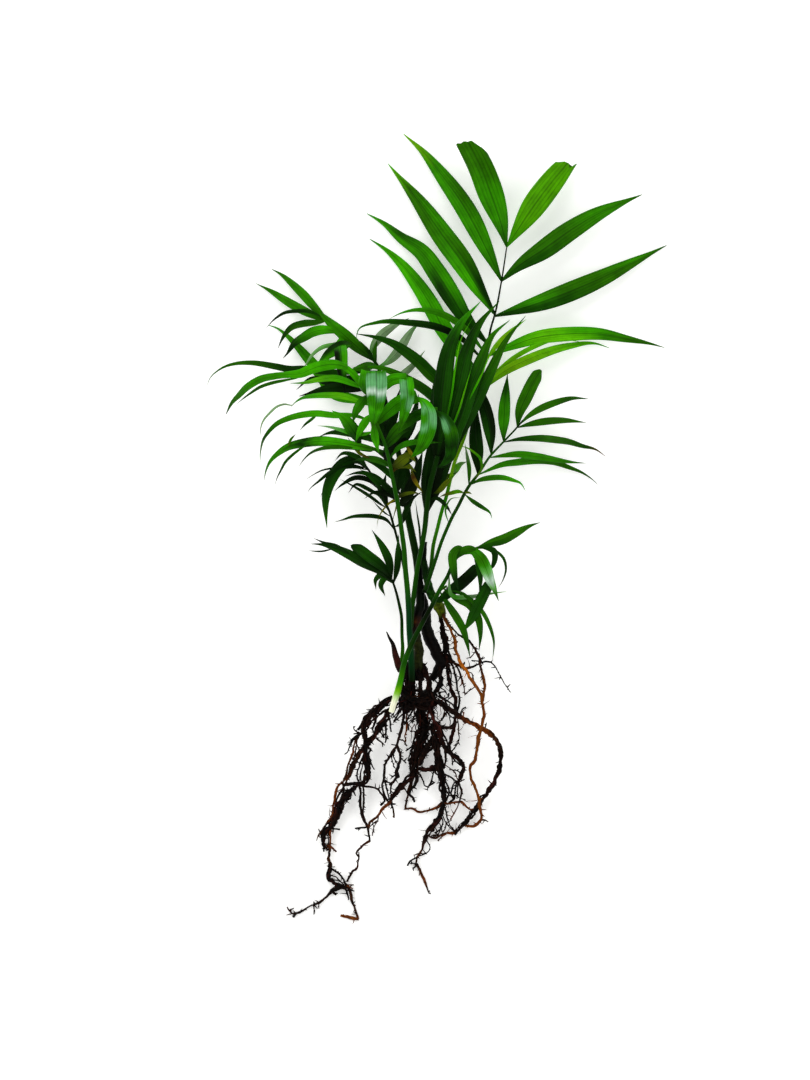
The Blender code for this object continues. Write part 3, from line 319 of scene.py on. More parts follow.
      (2.2, "mid deep dark", (60, 58, 48), [28, -15, 40, -15, 50, -22, 52, -30, 50, -38, 46, -45]),
      (4.8, "deep dark deep", (60, 62, 58), [32, -14, 43, -17, 42, -28, 37, -33]),
      (4.6, "deep deep dark", (60, 58, 52), [28, -17, 32, -30, 33, -40, 32, -50]),
      (5, "deep mid deep", (60, 64, 62), [12, -24, 17, -18, 26, -15, 32, -19, 34, -25]),
      (3.4, "pale leaf pale fresh", (60, 50, 46), [8, -33, 12, -50, 25, -51, 38, -49, 53, -47])]),
    "seedling_leaf_stalk": ((2.6, 1.8), "olive deep", (44, 46),
     [-0.5, -50.5, 3, -46, 8, -43],
     # Its first, broad blade lies in shadow and is painted near black: painted shade
     [(9, "dark dark black dark", (46, 47, 44), [0, -53, 12, -46, 22, -38, 33, -27], "blunt"),
      (6.4, "deep mid deep", (45, 50, 48, 40), [6, -46, 15, -52, 25, -57, 31, -66, 33, -78, 32, -92]),
      (6, "deep mid deep", (45, 46, 42, 34), [4, -48, 9, -57, 15, -66, 20, -75, 23, -85, 25.5, -97]),
      (3.4, "deep mid deep", (46, 54, 52, 46), [7, -45, 18, -48, 27, -54, 35, -63, 40, -73, 43, -84, 42, -99]),
      (8.6, "mid deep deep dark", (46, 56, 56), [21, -78, 27, -66, 33, -54, 41, -38], "blunt"),
      (3, "leaf mid pale", (46, 44, 42), [6, -46, 20, -49, 28, -55, 34, -58])]),
}

# Canes and the dry sheath: node, widths, tones, heights, points and the distance between rings, 0 for none
CANES = [
    ("seedling_cane", (5, 8.4, 7, 6, 5.4, 5, 4.8, 4.6),
     "soil olive olive deep deep deep deep dark dark dark black black black", (30, 33, 35), [4.6, -67, 3, -61, 0, -55,
     -3.5, -48, -7, -38, -9, -26, -9, -10], 9),
    ("main_cane", (7.6, 7.2, 7.4, 6.8, 6.4, 5.6),
     "soil soil husk husk husk husk husk soil umber soil black black black black black black black", (26, 31, 31, 30),
     [-13, -113.5, -13, -103, -13, -90, -16, -78, -15, -70, -13, -62, -12, -46, -14, -26], 11),
    ("dark_rhizome", (5, 8.5, 9, 8.6, 7.6), "soil soil soil black soil", (20, 21, 21, 26), [-4, -113, 1, -107,
     4, -101, 0, -93, -4, -84, -7, -74, -9, -62, -11, -50], 8),
    ("dry_sheath", (5.4, 5, 3.2, 0.8), "soil maroon soil soil", (34, 40, 42), [-26.3, -106.5, -28.5, -100, -32, -89,
     -37, -77], 0),
]

# Roots: node, then each rope as tones, widths, heights where it has its own, and points
ROOTS = [
    ("root_left_outer", [
     ("soil soil bark soil", (4.4, 6.4, 6.4, 5.4, 3), (25, 22, 20, 18), [-31, -127.5, -38, -131, -43, -135,
      -48.5, -139.5, -52, -146, -54, -152, -53.5, -158, -52.6, -163]),
     ("soil bark umber bark umber rust", (3.6, 3.6, 3.4, 3.2), (18, 15, 12, 11), [-52, -161.5, -55.3, -165.5,
      -58, -169.5, -60.5, -174.5, -63.5, -180, -65.4, -184.6, -67.7, -189]),
     ("umber rust rust umber", (1.8, 2, 1.8), (11, 8, 6), [-66.5, -186, -69.5, -190, -72.8, -192, -75, -195.8,
      -75.6, -200, -76.3, -205, -76.9, -209.4, -77.4, -214.3, -80, -218.5, -83, -222.5]),
     ("soil soil bark soil soil", (2.6, 6, 6.6, 6, 5.4, 4.6, 3.6, 2.6), (13, 11, 9, 7, 5.4, 4.4), [-57.5, -192,
      -60.5, -194.2, -64.7, -198, -68.5, -202.3, -71.7, -206.7, -73.6, -211, -75, -215.3, -77.2, -219.7, -80, -223.4,
      -82.6, -227, -84.4, -231, -85, -235, -84, -238.8, -81.5, -241]),
     ("bark umber soil soil soil bark", (2, 2, 2.4, 2.8, 3.6, 2.8, 4.2, 3.6), (4.4, 4, 3.6, 3.4), [-80.6, -240,
      -80.6, -245.4, -81, -248.8, -79.7, -251.6, -79.8, -255, -80, -257.8, -81, -260.7, -80.2, -263.6, -77.5, -265.2,
      -74.1, -267.5, -70.7, -268.6, -66.7, -269.7, -65, -271.4]),
     ("soil bark umber soil umber bark rust", (2.6, 2.2, 2, 1.8, 1.7), (3, 2.2, 1.6), [-67, -269.5, -64.5, -273.5,
      -63.3, -277.7, -62.2, -281.6, -60.5, -286.7, -59.3, -291.2, -58.6, -293.6]),
     ("rust amber rust amber", (1.8, 2.4, 2.4, 2.2), (1.6, 1.4, 1.4), [-58, -293.8, -62.7, -293.4, -67.3, -292.2,
      -71.8, -291]),
     ("soil soil bark soil bark soil umber", (3.6, 3.8, 2.6, 1.6, 2, 1.3, 1.4, 1.8, 1.2, 0.7), (3, 2.4, 1.8, 1.4),
      [-71, -268.6, -74.6, -270.6, -79, -273.4, -82, -276.6, -85.4, -278.8, -87.7, -281.1, -91.1, -282.6,
      -94.5, -283.9, -97.3, -285.6, -100.1, -287.9, -102.4, -288.7, -107.5, -289.3, -112.6, -290.7]),
     ("soil", (1.6, 2, 1.8), [-32.8, -125.8, -36.5, -127.5, -40.1, -129.2, -42.9, -132, -45.6, -134.8, -49.3, -136.8,
      -50.6, -139, -53.4, -141.4, -54.4, -144.6, -56.2, -148, -59, -150.7]),
     ("bark soil", (1.6, 1.8, 1.2), [-37.4, -136, -40.1, -137.4, -42, -138.8, -44.5, -141, -45.5, -143.5, -46.5, -147,
      -47.5, -150.7, -46.6, -153]),
     ("bark", (1.4, 0.7), [-58, -153, -61.2, -150.7, -61.9, -148.2]),
     ("soil", (1.5, 0.9), [-57, -153, -61.9, -153.9]),
     ("soil", (2.6, 2, 1.2, 0.7), [-56.5, -153, -59.4, -156.2, -62.6, -159, -64, -161.7, -65, -164.4, -66.7, -168,
      -68.8, -169.3]),
     ("soil", (1, 0.6), [-63.4, -160.6, -65.8, -162.6]),
     ("bark umber", (1.2, 1.1), [-57.4, -155, -59.4, -160, -59, -163, -57.4, -166.4]),
     ("bark rust umber bark", (1.4, 1.6, 1.6), [-59, -156, -61.2, -160.8, -62.2, -164.4, -62.4, -168.1, -63.5, -171.3,
      -64.9, -175, -66.3, -180, -67.4, -184.6, -69.5, -188.8]),
     ("umber bark", (1, 1.2), [-59.4, -160, -60.2, -164.5, -60.6, -167.7, -61.2, -170.9, -62.6, -173.6]),
     ("bark soil", (1.6, 1.6), [-66.8, -188.5, -69.5, -194.2, -71.2, -197.5, -72.8, -200.7, -74.4, -203.4,
      -75, -206.7]),
     ("soil bark", (1, 1), [-70.3, -191.5, -69.4, -197, -70.6, -203]),
     ("bark soil soil", (2, 2.6, 2.4), [-70.6, -192, -64.7, -191.6, -61.4, -191, -57.1, -191]),
     ("soil", (1.6, 0.8), [-62.5, -195.8, -60.3, -200.7]),
     ("bark", (0.9, 0.8), [-63.7, -199, -66.3, -204, -69, -207.2, -71.8, -209]),
     ("bark", (0.9, 0.7), [-73.4, -212, -73.9, -217.5, -74.7, -220.7, -76.4, -224]),
     ("soil", (1.5, 1.4), [-78.6, -225.6, -72, -226.2]),
     ("bark umber", (1.4, 1.1, 0.7), [-81, -220.5, -83.6, -223.5, -85.8, -227.3, -88.5, -231, -89.7, -234.6]),
     ("umber rust rust bark", (1.4, 1.8, 1.6), [-77.6, -221, -78.4, -225, -79.2, -228.3, -79.3, -233.8, -79.6, -239,
      -80.4, -243]),
     ("soil", (1.2, 1), [-80, -224, -80.8, -231, -80.8, -236, -82, -240]),
     ("soil", (0.9, 0.9), [-84.6, -234, -82, -232.4, -79.2, -232]),
     ("bark", (1.6, 1.6), [-85, -235.6, -82.5, -238, -79.5, -237.5]),
     ("umber rust maroon", (2, 1.8, 1.2), [-82, -238, -79.3, -239.4, -77.1, -241, -74.8, -243.2]),
     ("soil", (2, 1), [-84.6, -236.5, -84.3, -243]),
     ("soil", (1.5, 1.4, 2), [-79.8, -255, -75.2, -257.5, -72.4, -259.5, -70.7, -261.8, -69, -264.6, -67.3, -268]),
     ("bark", (0.8, 0.9), [-80.6, -259.6, -78, -260.9, -74.6, -262.1, -72.9, -264.1, -70, -267]),
     ("soil", (1, 0.9), [-80.4, -262.4, -76, -264, -72, -265.5, -69, -268]),
     ("soil", (0.9, 0.7), [-79.6, -254.3, -75.8, -254.3]),
     ("soil", (2.4, 1.8, 0.8), [-69.8, -268.8, -66.9, -274, -65.6, -278.8]),
     ("umber", (1.4, 0.8), [-68, -268, -61.6, -268]),
     ("rust", (1.6, 0.9), [-67, -269, -62.5, -270.6]),
     ("soil", (1.4, 0.8), [-66.5, -270, -61.3, -272.6]),
     ("soil", (1.4, 0.7), [-91.2, -283, -91.9, -280.4]),
     ("bark", (1.3, 0.6), [-91.9, -283, -91.1, -288.4]),
     ("bark", (1.1, 0.7), [-88.2, -281, -88.1, -285.9]),
     ("bark maroon", (1.5, 1), [-108.4, -289.2, -110.9, -286.2, -111.9, -284.4]),
     ("soil", (1.8, 1.5), [-105.2, -289, -107.5, -292.4]),
     ("soil", (2, 1.6), [-78, -272.8, -74.6, -275]),
    ]),
    ("root_left_inner", [
     ("soil bark soil bark soil", (4, 4.6, 4.8, 4.8, 4.4), (29, 26, 23, 19, 17), [-28, -131, -34.6, -136,
      -36.9, -140.1, -39.2, -144.3, -42, -147.9, -44.5, -152, -47.5, -156, -51.1, -160.8, -54.5, -164.5]),
     ("soil soil soil bark soil", (4.8, 6, 6.6, 4.6, 5, 5, 3), (20, 17, 14, 13, 13), [-52.8, -160, -52.2, -168.6,
      -52.4, -174, -51.4, -179, -51.6, -185, -54, -190, -58.5, -193]),
     ("soil soil bark soil", (2.2, 2, 2, 1.8, 1.6), (13, 9, 6, 5), [-57.1, -190, -56.9, -198.5, -57.2, -204,
      -56.8, -208.3, -55.8, -213.7, -54.2, -218.6, -52.2, -222.4, -51.1, -226.2, -50.6, -230.5, -49.8, -235.2]),
     ("soil bark", (1.6, 1.5, 1.4), (12, 8, 6), [-55.4, -191, -54.6, -197, -54.4, -204, -54.4, -210.5, -54.4, -215.3,
      -53.3, -219.7]),
     ("umber maroon bark maroon bark soil", (2.4, 1.6, 1.4, 1.4, 1.4, 1.8, 2), (5, 4, 3.4, 3), [-49.8, -234.4,
      -53.8, -237, -56, -239.2, -58.7, -241.9, -59.5, -244, -57.8, -246.8, -58.6, -251, -60, -256.2, -62.7, -257.4,
      -65, -261.2, -67, -265.6]),
     ("soil rust rust umber umber", (2, 2.2, 2, 1.6), (14, 10, 7), [-33, -202.6, -35.4, -206.2, -37.6, -208.3,
      -40.3, -211.5, -42.5, -214.3, -44.6, -217, -47.9, -219.1, -50.4, -221.4, -50.8, -225]),
     ("soil bark soil", (1.6, 1.4, 1.8), (13, 13, 13), [-57.1, -193, -51.7, -193.4, -47.9, -193.9, -45.2, -195,
      -43, -196.4, -41.6, -198.5, -39.7, -201, -38.7, -204]),
     ("soil", (1.4, 1.2), [-53.6, -170, -56.2, -174.5, -57.6, -179.1, -59.2, -182.8, -59.6, -186.5, -57.6, -191]),
     ("bark", (1.1, 1), [-52.6, -170, -54.8, -175.5, -55.7, -179.6, -56.7, -182.8, -56.4, -189]),
     ("soil", (1, 0.7), [-51, -164.4, -47.5, -167.2]),
     ("soil", (1.6, 1.2, 0.8), [-50.8, -170, -48.9, -175.5, -47.5, -179.1, -46.3, -181]),
     ("soil", (0.9, 0.8), [-43.4, -150, -40.6, -154.4, -39.7, -156.7]),
     ("soil bark", (1.6, 1.2, 0.9), [-47, -155.4, -42.4, -158.9, -40.1, -160.8, -39.9, -163.7]),
     ("soil", (1.8, 1.9, 1.6, 1), [-38, -141.6, -37.4, -149.8, -37.6, -154.4, -37.8, -158, -38.4, -160.6]),
     ("soil", (1, 0.7), [-38, -157.2, -35.4, -157.6]),
     ("soil", (1.7, 1.6, 1), [-36, -138.6, -34.6, -145.2, -34.4, -148.9, -33.7, -152.4]),
     ("soil", (1, 0.9), [-41, -146, -39.9, -152.5, -39, -157]),
     ("soil", (1.2, 0.8), [-29.4, -132, -31.9, -138.3, -33.7, -141]),
     ("soil", (1, 0.8), [-26.4, -132, -29.1, -138.3, -31.4, -141, -34.7, -142.4]),
     ("soil", (1.2, 0.7), [-24.6, -139, -30, -143.8, -31.9, -145.6]),
     ("soil", (1.3, 1.4), [-51.5, -224.6, -61, -225.4]),
     ("bark maroon", (0.9, 0.9, 0.7), [-42.8, -214.5, -43.6, -219, -46.4, -223.4, -47.3, -227.3, -47.9, -231]),
     ("bark", (0.9, 0.8), [-47.9, -219, -47.1, -224]),
     ("bark", (0.9, 0.7), [-45.3, -195.2, -45.4, -191.8]),
     ("soil", (1.6, 1.8), [-38.4, -204, -41.6, -207.8]),
    ]),
    ("root_left_thin", [
     ("soil bark soil bark", (2.4, 2.2, 2, 1.8, 1.6), (24, 20, 16, 12, 9), [-22.6, -131, -24.5, -143.3, -25.5, -147.9,
      -26.8, -151.6, -27.8, -156.7, -28.6, -160.4, -29.6, -163.5, -31.9, -167.2, -33.7, -169.8, -35.6, -172.2,
      -37.4, -174.5, -38.5, -177.8, -39, -182.3, -39, -189.2, -40.2, -193.1, -39.2, -198.5, -37.6, -203,
      -35, -206.6]),
     ("bark soil bark", (2, 2.2, 2.4, 2.2), (16, 16, 13), [-29.2, -162, -27.8, -166.3, -26.6, -168.6, -26.8, -171.3,
      -27, -174.1, -28.7, -176.8, -29.1, -180, -29.8, -183.3, -29.6, -186.5, -31, -189.2, -34.4, -193]),
     ("soil bark umber", (2, 1.6, 1.2), (12, 10, 8), [-34.4, -202, -33.2, -207.8, -32.2, -212, -31.6, -217.2]),
     ("soil", (1.2, 0.9), [-29, -162.8, -32.8, -161.9]),
     ("soil", (1.2, 0.8), [-27, -168.6, -24.2, -168.3]),
     ("soil", (1.2, 0.9), [-27, -172, -24, -174.6, -22.2, -176.1]),
     ("soil", (2, 2), [-29, -183.2, -27.6, -186.8]),
     ("soil", (0.9, 0.8), [-29.8, -185, -33.5, -186.7]),
     ("soil", (1.2, 1), [-30.4, -166, -31.9, -170, -31, -173.2, -28.8, -177]),
     ("soil", (1.3, 0.7), [-33, -169, -33.3, -172.7, -32.6, -175.5, -31.9, -178.4]),
     ("bark rust bark", (1.4, 1.3, 1), [-22, -135, -22.2, -144.3, -22, -147.9, -22.2, -152.5, -23.2, -155.3,
      -22.7, -158.5, -23.2, -161.2, -21.8, -163.1]),
     ("soil", (1, 0.8), [-22, -145.6, -20.7, -148.2, -20.4, -151.1]),
     ("soil umber", (1, 0.9), [-28.2, -158.2, -25.6, -158.6, -24.1, -159.2, -22.7, -161.7]),
     ("soil", (1.4, 1.2), [-39, -187, -37.6, -192, -37, -194.8, -36, -199.6, -34.9, -204, -33.4, -208.3]),
     ("soil", (1.3, 1.2), [-33.2, -190.5, -33.8, -195.8, -33.8, -201.3, -33.2, -207.8]),
     ("soil", (1, 1), [-39.4, -189, -36.6, -190.4, -33, -191.6]),
     ("soil", (1, 0.8), [-35.6, -205, -35.4, -209.9]),
    ]),
    ("root_middle", [
     ("soil soil bark soil", (7, 7, 8.5, 10.5, 9.6, 7, 6), (24, 18, 13, 9, 7), [-10, -132, -9, -142, -8.8, -148,
      -10.5, -155, -12.6, -162, -14, -168, -15.5, -174, -16.8, -180, -17.4, -186]),
     ("soil bark", (4.6, 4.6, 4), (16, 14, 12), [-2, -156, -3.6, -162, -7.6, -167, -10.5, -172, -12.8, -178]),
     ("soil bark soil", (4.4, 4.2, 4), (9, 12, 11), [-13, -180, -9, -181.4, -5, -181.2, -1, -179.4, 3, -178.8,
      7, -177.6]),
     ("soil bark soil", (5, 4.6, 4, 3), (9, 10, 12), [-16, -184, -20, -187.5, -22.5, -190, -25, -192.5, -28, -196,
      -31, -199.5, -34.4, -204]),
     ("soil bark umber bark umber", (3, 2.6, 2, 1.6, 1.4), (8, 5, 3, 2), [-17, -184, -18.5, -190, -20, -195,
      -20.5, -200, -22.2, -205.1, -22.9, -209.3, -22.6, -211.5]),
     ("umber rust umber rust bark", (1.5, 1.6, 1.8, 2, 2.6), (2, 2, 3, 6), [-22.8, -211, -17.3, -210.7, -13.7, -212.5,
      -8.8, -212.5, -3.1, -211.1, 1.9, -209.3, 5.4, -206.5]),
     ("soil", (2.8, 2.4, 1.4), (8, 6, 4), [-15, -183, -13.8, -188, -15.5, -192.5, -18.5, -196, -20, -200, -17, -203.5,
      -16.4, -205.8]),
     ("soil", (1.3, 1.2, 1.2), [-14, -182, -11, -186.5, -9.5, -189.5, -8.5, -193, -6, -194.3, -4.5, -192.5, -3, -188,
      -1.6, -180]),
     ("soil", (1.2, 1), [-5, -193, -1, -190.5]),
     ("soil", (0.9, 0.6), [-6, -194, -6.3, -197]),
     ("soil", (1.2, 1), [-24.6, -193.6, -20.9, -200]),
     ("soil", (0.9, 0.8), [-19.5, -152, -17, -152.2, -12, -153.4]),
     ("soil", (1.2, 1.1), [-22.5, -167.2, -20, -165, -15.5, -161.5]),
     ("soil", (1.4, 1.2), [-15, -160, -17.5, -165, -19.5, -170, -20.6, -173, -19.8, -177, -19, -184]),
     ("bark", (1.6, 1.4), [-4.4, -161.5, -6.4, -165, -8, -169]),
     ("soil", (1.6, 1.4), [-2.4, -158, -1.5, -165, -0.5, -170, 0, -179]),
    ]),
    ("root_right_inner", [
     ("soil maroon maroon bark soil soil bark", (4.4, 4.2, 3.6, 3.4, 3.2, 3, 2.6), (31, 26, 21, 18, 14, 11),
      [-5, -131, -2.5, -141, 0.5, -148, 2.5, -153.5, 4.5, -159.5, 7.5, -165.5, 11.5, -168.5, 15, -171, 18, -174,
      20.4, -177.4, 20.8, -180.4, 19.8, -184, 17.8, -187.6, 16, -191]),
     ("soil bark soil soil", (4, 5, 6, 6.4, 4.6), (24, 19, 14, 11, 8), [-3, -146, -0.5, -157, 1, -163, 1.6, -169,
      2.2, -176, 2.6, -182.5, 4, -187.5, 5.2, -192.5, 6.5, -197.5, 7, -202.5, 5.6, -208]),
     ("soil soil bark soil umber bark", (4, 3.4, 5, 5.4, 3, 2, 1.8, 2.2), (8, 6, 4.4, 3.4, 2.4), [6.4, -205,
      4.7, -210.7, 3.3, -216.4, 0.6, -221.4, -2.6, -225, -5.9, -228.5, -8, -232.7, -9.5, -237, -11, -241.9,
      -13.7, -246.2, -14.8, -250.4, -14.4, -253.9]),
     ("soil umber rust umber soil", (2.4, 2.2, 1.8, 1), (2.4, 1.6, 1), [-14.6, -252, -11.6, -258.9, -9.5, -263.2,
      -7.3, -268.1, -4.9, -274.3]),
     ("soil bark", (2.8, 2.4, 2), (22, 20, 23), [-2, -144, 2, -147.6, 5, -149.4, 8, -149.3, 11, -148, 14, -145]),
     ("soil", (1.4, 1.3), [3.5, -149, 5.5, -154.5, 8, -158, 9, -166]),
     ("soil", (1.8, 1.6), [6.8, -163, 7.5, -172.5, 6.4, -179]),
     ("soil", (1.6, 1.4), [2.4, -164, 3.4, -172, 4.4, -179.4]),
     ("soil", (1.6, 1.3), [11.5, -168, 15, -175, 19.4, -178.6]),
     ("bark", (1.2, 0.9), [10.4, -167, 12, -174, 12.5, -177.5]),
     ("bark umber", (0.9, 0.9), [6.6, -177.2, 11, -180.5, 14, -183, 16.4, -188.5]),
     ("soil", (1.3, 1.2), [4, -183.2, 9.5, -186, 12.5, -187.5, 16, -190]),
     ("soil", (0.9, 0.9), [12.6, -181.5, 15.5, -181.5, 19, -183.4]),
     ("bark", (1, 0.7), [16.8, -190.4, 21.5, -188.2]),
     ("soil", (1, 0.7), [20, -180.6, 23, -181.4]),
     ("soil", (1.5, 1.3), [4, -182, 7, -190, 9, -194, 9.8, -199, 7.6, -204]),
     ("soil", (1.3, 1.2), [16, -189.5, 12.5, -192.5, 12, -196, 11, -199, 13, -203, 9.6, -206]),
     ("soil bark", (1.6, 1.4), [16.5, -189, 18, -194, 19.2, -197.5, 18.8, -202, 17.2, -206]),
     ("soil", (1.2, 1.2), [15.4, -189, 14.6, -197.5, 14, -203, 8.5, -207]),
     ("soil", (1, 0.7), [8, -200.6, 15, -200.5, 18, -202.5, 22.4, -203.4]),
     ("soil", (1.1, 1), [16.6, -190, 16.4, -197, 15.6, -203]),
     ("soil", (1.2, 1.2), [3, -213, 5, -221, 3, -226, -1, -229]),
     ("bark", (0.9, 0.9), [0.6, -219, 3.4, -224, 2, -229, -3.6, -231]),
     ("bark", (0.9, 0.8), [-2, -223, 0.6, -228, -2, -232, -6.6, -231]),
     ("soil", (1.2, 1), [5.4, -207, 7.5, -212.2, 9, -218.5, 10.4, -222.8, 13.8, -227]),
     ("soil", (0.9, 0.8), [4, -211, 6.1, -217.8, 8.2, -222.1, 12.8, -227]),
     ("bark", (0.9, 0.8), [8, -220, 6.8, -226, 4, -230.3]),
     ("soil", (1, 0.8), [-7.6, -231.5, -6.4, -235, -4.6, -239.1, -5.2, -241.9, -8.8, -244.7, -13.6, -246.6]),
     ("soil", (0.8, 0.7), [-10.4, -240.5, -8.2, -243.6]),
     ("soil", (1.6, 1.2), [-14, -247, -19, -249.6, -20.8, -252, -21.6, -253.6]),
     ("soil", (1.2, 0.9), [-14.6, -251.6, -19.6, -251.6]),
     ("soil", (1.5, 1), [-14.4, -252.8, -17.4, -256.2]),
    ]),
    ("root_right_arc", [
     ("soil soil bark rust rust umber bark soil maroon bark soil soil bark",
      (4.2, 3.8, 3.4, 3.4, 3.2, 3.4, 4, 4.8, 4.2), (32, 27, 22, 17, 12, 9, 6, 4), [-3, -126, 4, -131, 9, -134.6,
      13, -137.4, 18.2, -141, 21.8, -143.4, 26.9, -145.9, 31.1, -148.3, 36.2, -150.8, 40.9, -154, 44.5, -157.6,
      46.8, -161, 48.2, -165.5, 48.6, -171, 48, -178, 46.4, -184, 43.6, -190.5, 39.2, -197, 34.6, -203, 30.8, -208.6,
      28, -212.9, 25, -217.6, 22, -221.4, 18.2, -224.9, 15.3, -227.8]),
     ("umber rust umber rust", (2.6, 2, 1.6, 1.2), (3, 2, 1.6), [16.4, -227, 12.5, -229.2, 7.5, -229.2, 3, -230.6,
      -1, -232.6, -6.2, -231]),
     ("rust umber", (1.2, 1), (2.4, 1.6), [8, -229.4, 4.4, -232, 1.2, -234.6]),
     ("umber rust rust umber", (1.6, 1.7, 1.5), (10, 8, 6), [6.4, -206, 9, -206.8, 15.3, -205.6, 19.6, -205.8,
      22.4, -208.4, 25.9, -210.7, 29.4, -210.2]),
     ("umber rust", (1.1, 0.9), [17.4, -205.6, 15.3, -210.7, 13.2, -214.3, 11.1, -219.4]),
     ("soil", (1.5, 1.3), (30, 24), [-1, -124.6, 4, -127, 9, -129, 12.5, -132, 15, -137.6]),
     ("soil", (0.9, 0.9), [4, -132, 8, -137, 10.5, -140, 13.6, -142.6]),
     ("soil", (1.4, 0.8), [9, -136, 6, -141, 4.4, -144.2]),
     ("soil", (1, 0.7), [36.6, -150.4, 37.8, -145.4]),
     ("soil", (1.5, 1.3), [18, -140.4, 20.2, -135.4, 22.4, -134.2]),
     ("rust", (1.2, 1), [20.2, -142, 21.2, -137.4]),
     ("soil", (2.4, 2), [16.4, -226.4, 14, -230]),
    ]),
    ("root_orange", [
     ("umber amber amber amber orange orange amber amber", (1.7, 2, 2.1, 2.6, 2.3, 2.6, 2.2, 2.6), (34, 37, 37, 36),
      [5.2, -64, 7.8, -69.8, 10.4, -74.4, 12.5, -80.1, 14, -85.3, 14.6, -90.4, 16.6, -95.1, 18.2, -99.2, 20.2, -103.3,
      22.8, -107.2, 25.2, -112.1, 29, -116.8, 32.4, -120.9, 34.4, -125]),
     ("amber rust amber amber rust amber amber rust amber", (2.6, 2.4, 2.2, 3, 2.5, 2.4, 2, 2.2, 2.4, 2.2, 1.8),
      (36, 32, 24, 15, 8, 4), [34.2, -123, 34.7, -129.2, 35.2, -134.4, 35.4, -139.5, 34.8, -144.7, 33.9, -149.3,
      33, -154, 31.6, -158.6, 30.4, -165, 29.4, -171, 28.4, -175.6, 26.2, -178.2, 25.8, -183, 26.6, -188.6,
      29, -194.4, 31.8, -200.6, 33, -206.5, 33.6, -212.2, 33.8, -217.1, 32.3, -220.4, 30.2, -222.6, 26.7, -223.8,
      21.4, -223.4]),
     ("bark umber amber amber", (2, 2, 2.2, 2), (27, 30, 34), [33, -97, 33.1, -103.3, 34.2, -108.5, 35.7, -113.7,
      36.5, -118.8, 36, -124.4, 34.8, -129]),
     ("umber bark", (1.8, 1.4, 0.8), [33.2, -219, 36, -219, 39.4, -220.7]),
     ("umber soil", (0.9, 0.8), [22.4, -106.6, 24.6, -107.4, 26.4, -108.2, 27.5, -111.1, 28, -115.4]),
     ("bark", (0.9, 0.7), [29.4, -118, 24.5, -121.5, 21.5, -124]),
     ("soil", (1, 0.7), [12.2, -80, 15.2, -80.2]),
     ("umber", (1, 0.7), [14, -86.4, 16.4, -84.2]),
     ("soil", (0.9, 0.7), [20.2, -103, 21.4, -99.6]),
     ("umber", (1.2, 0.8), [16, -94, 13.4, -94.6]),
    ]),
    ("root_right_dark", [
     ("soil soil soil soil bark", (4, 3.6, 3, 5, 5, 6, 6.4), (27, 25, 23, 22, 21), [3.6, -64, 4.4, -71.3, 4.9, -76.5,
      6.4, -83, 7, -88, 7, -94, 8, -100, 9.4, -104]),
     ("soil soil bark soil", (3, 2.8, 2.8, 2.6, 2.8), (21, 18, 15, 13), [9.2, -101, 9, -109.5, 10, -114.5, 11.2, -120,
      13.2, -124.5, 14.6, -129, 14.8, -135, 14.6, -141]),
     ("bark maroon soil", (2.8, 2.6, 2.4), (14, 13, 13), [14.6, -139, 13.7, -147.5, 12.5, -152.5, 11.3, -157.5,
      10, -162, 10.8, -167.5]),
     ("soil", (1.7, 1.5, 1.4, 1.6), (20, 17, 15), [11, -100, 13.2, -105.5, 14.2, -110, 15.4, -115, 16.2, -120,
      17.3, -124, 17.6, -128, 17, -133, 15.2, -139]),
     ("bark umber soil bark", (0.9, 0.9), (14, 14), [15.2, -140, 16.8, -147.5, 16.9, -152.5, 17.6, -157, 16.5, -161,
      14, -164.5, 11.6, -167.6]),
     ("soil soil umber", (1.8, 1.8, 1.4, 0.9), (22, 19, 20), [7.6, -89, 11.4, -97.1, 14, -101, 16.6, -105,
      18.4, -110.5, 19.6, -115, 21.2, -119.8, 21.4, -124]),
     ("soil soil bark umber", (1.4, 1.4, 1.6, 2, 1.8), (26, 27, 26, 25), [5.4, -66.6, 10.9, -73, 13.5, -76,
      16.6, -79.2, 20, -81.8, 24.4, -84.2, 27.5, -87.6, 30, -91.5, 32.1, -95.1, 33.4, -99]),
     ("umber bark soil soil", (2, 1.8, 1.4, 1.2), (24, 25, 24), [20, -105.2, 26.9, -103.5, 31.1, -101.8, 35.2, -100.4,
      39.3, -100, 42, -100.3]),
     ("soil bark", (1, 0.8, 0.6), (24, 22, 20), [41, -100, 44.5, -103.3, 46.6, -108, 49.2, -112.6, 52.3, -117.8,
      56.4, -123]),
     ("bark umber", (2.2, 2), [7.4, -97.6, 13.5, -101.3, 17.6, -102.9, 21, -105.2]),
     ("rust", (1.3, 1), [18.9, -111.5, 19.2, -117]),
     ("umber", (1, 0.8), [30, -91.4, 25.4, -97.1]),
     ("soil", (0.9, 0.8), [26.4, -99, 33.4, -99.2]),
     ("soil", (1.2, 1), [9.4, -102, 11.5, -109.5, 11.2, -115]),
     ("soil", (1, 0.8), [6.6, -84, 10.8, -84]),
     ("soil", (0.9, 0.8), [7, -91.4, 10.4, -90.2, 14.4, -90.2]),
     ("umber", (0.9, 0.9), [4.8, -68, 5.9, -74, 5.4, -80]),
     ("soil", (1.6, 1.6), [32, -93.6, 32.6, -101.4]),
     ("bark", (1.2, 0.8), [33, -98, 36.6, -96.8]),
    ]),
]

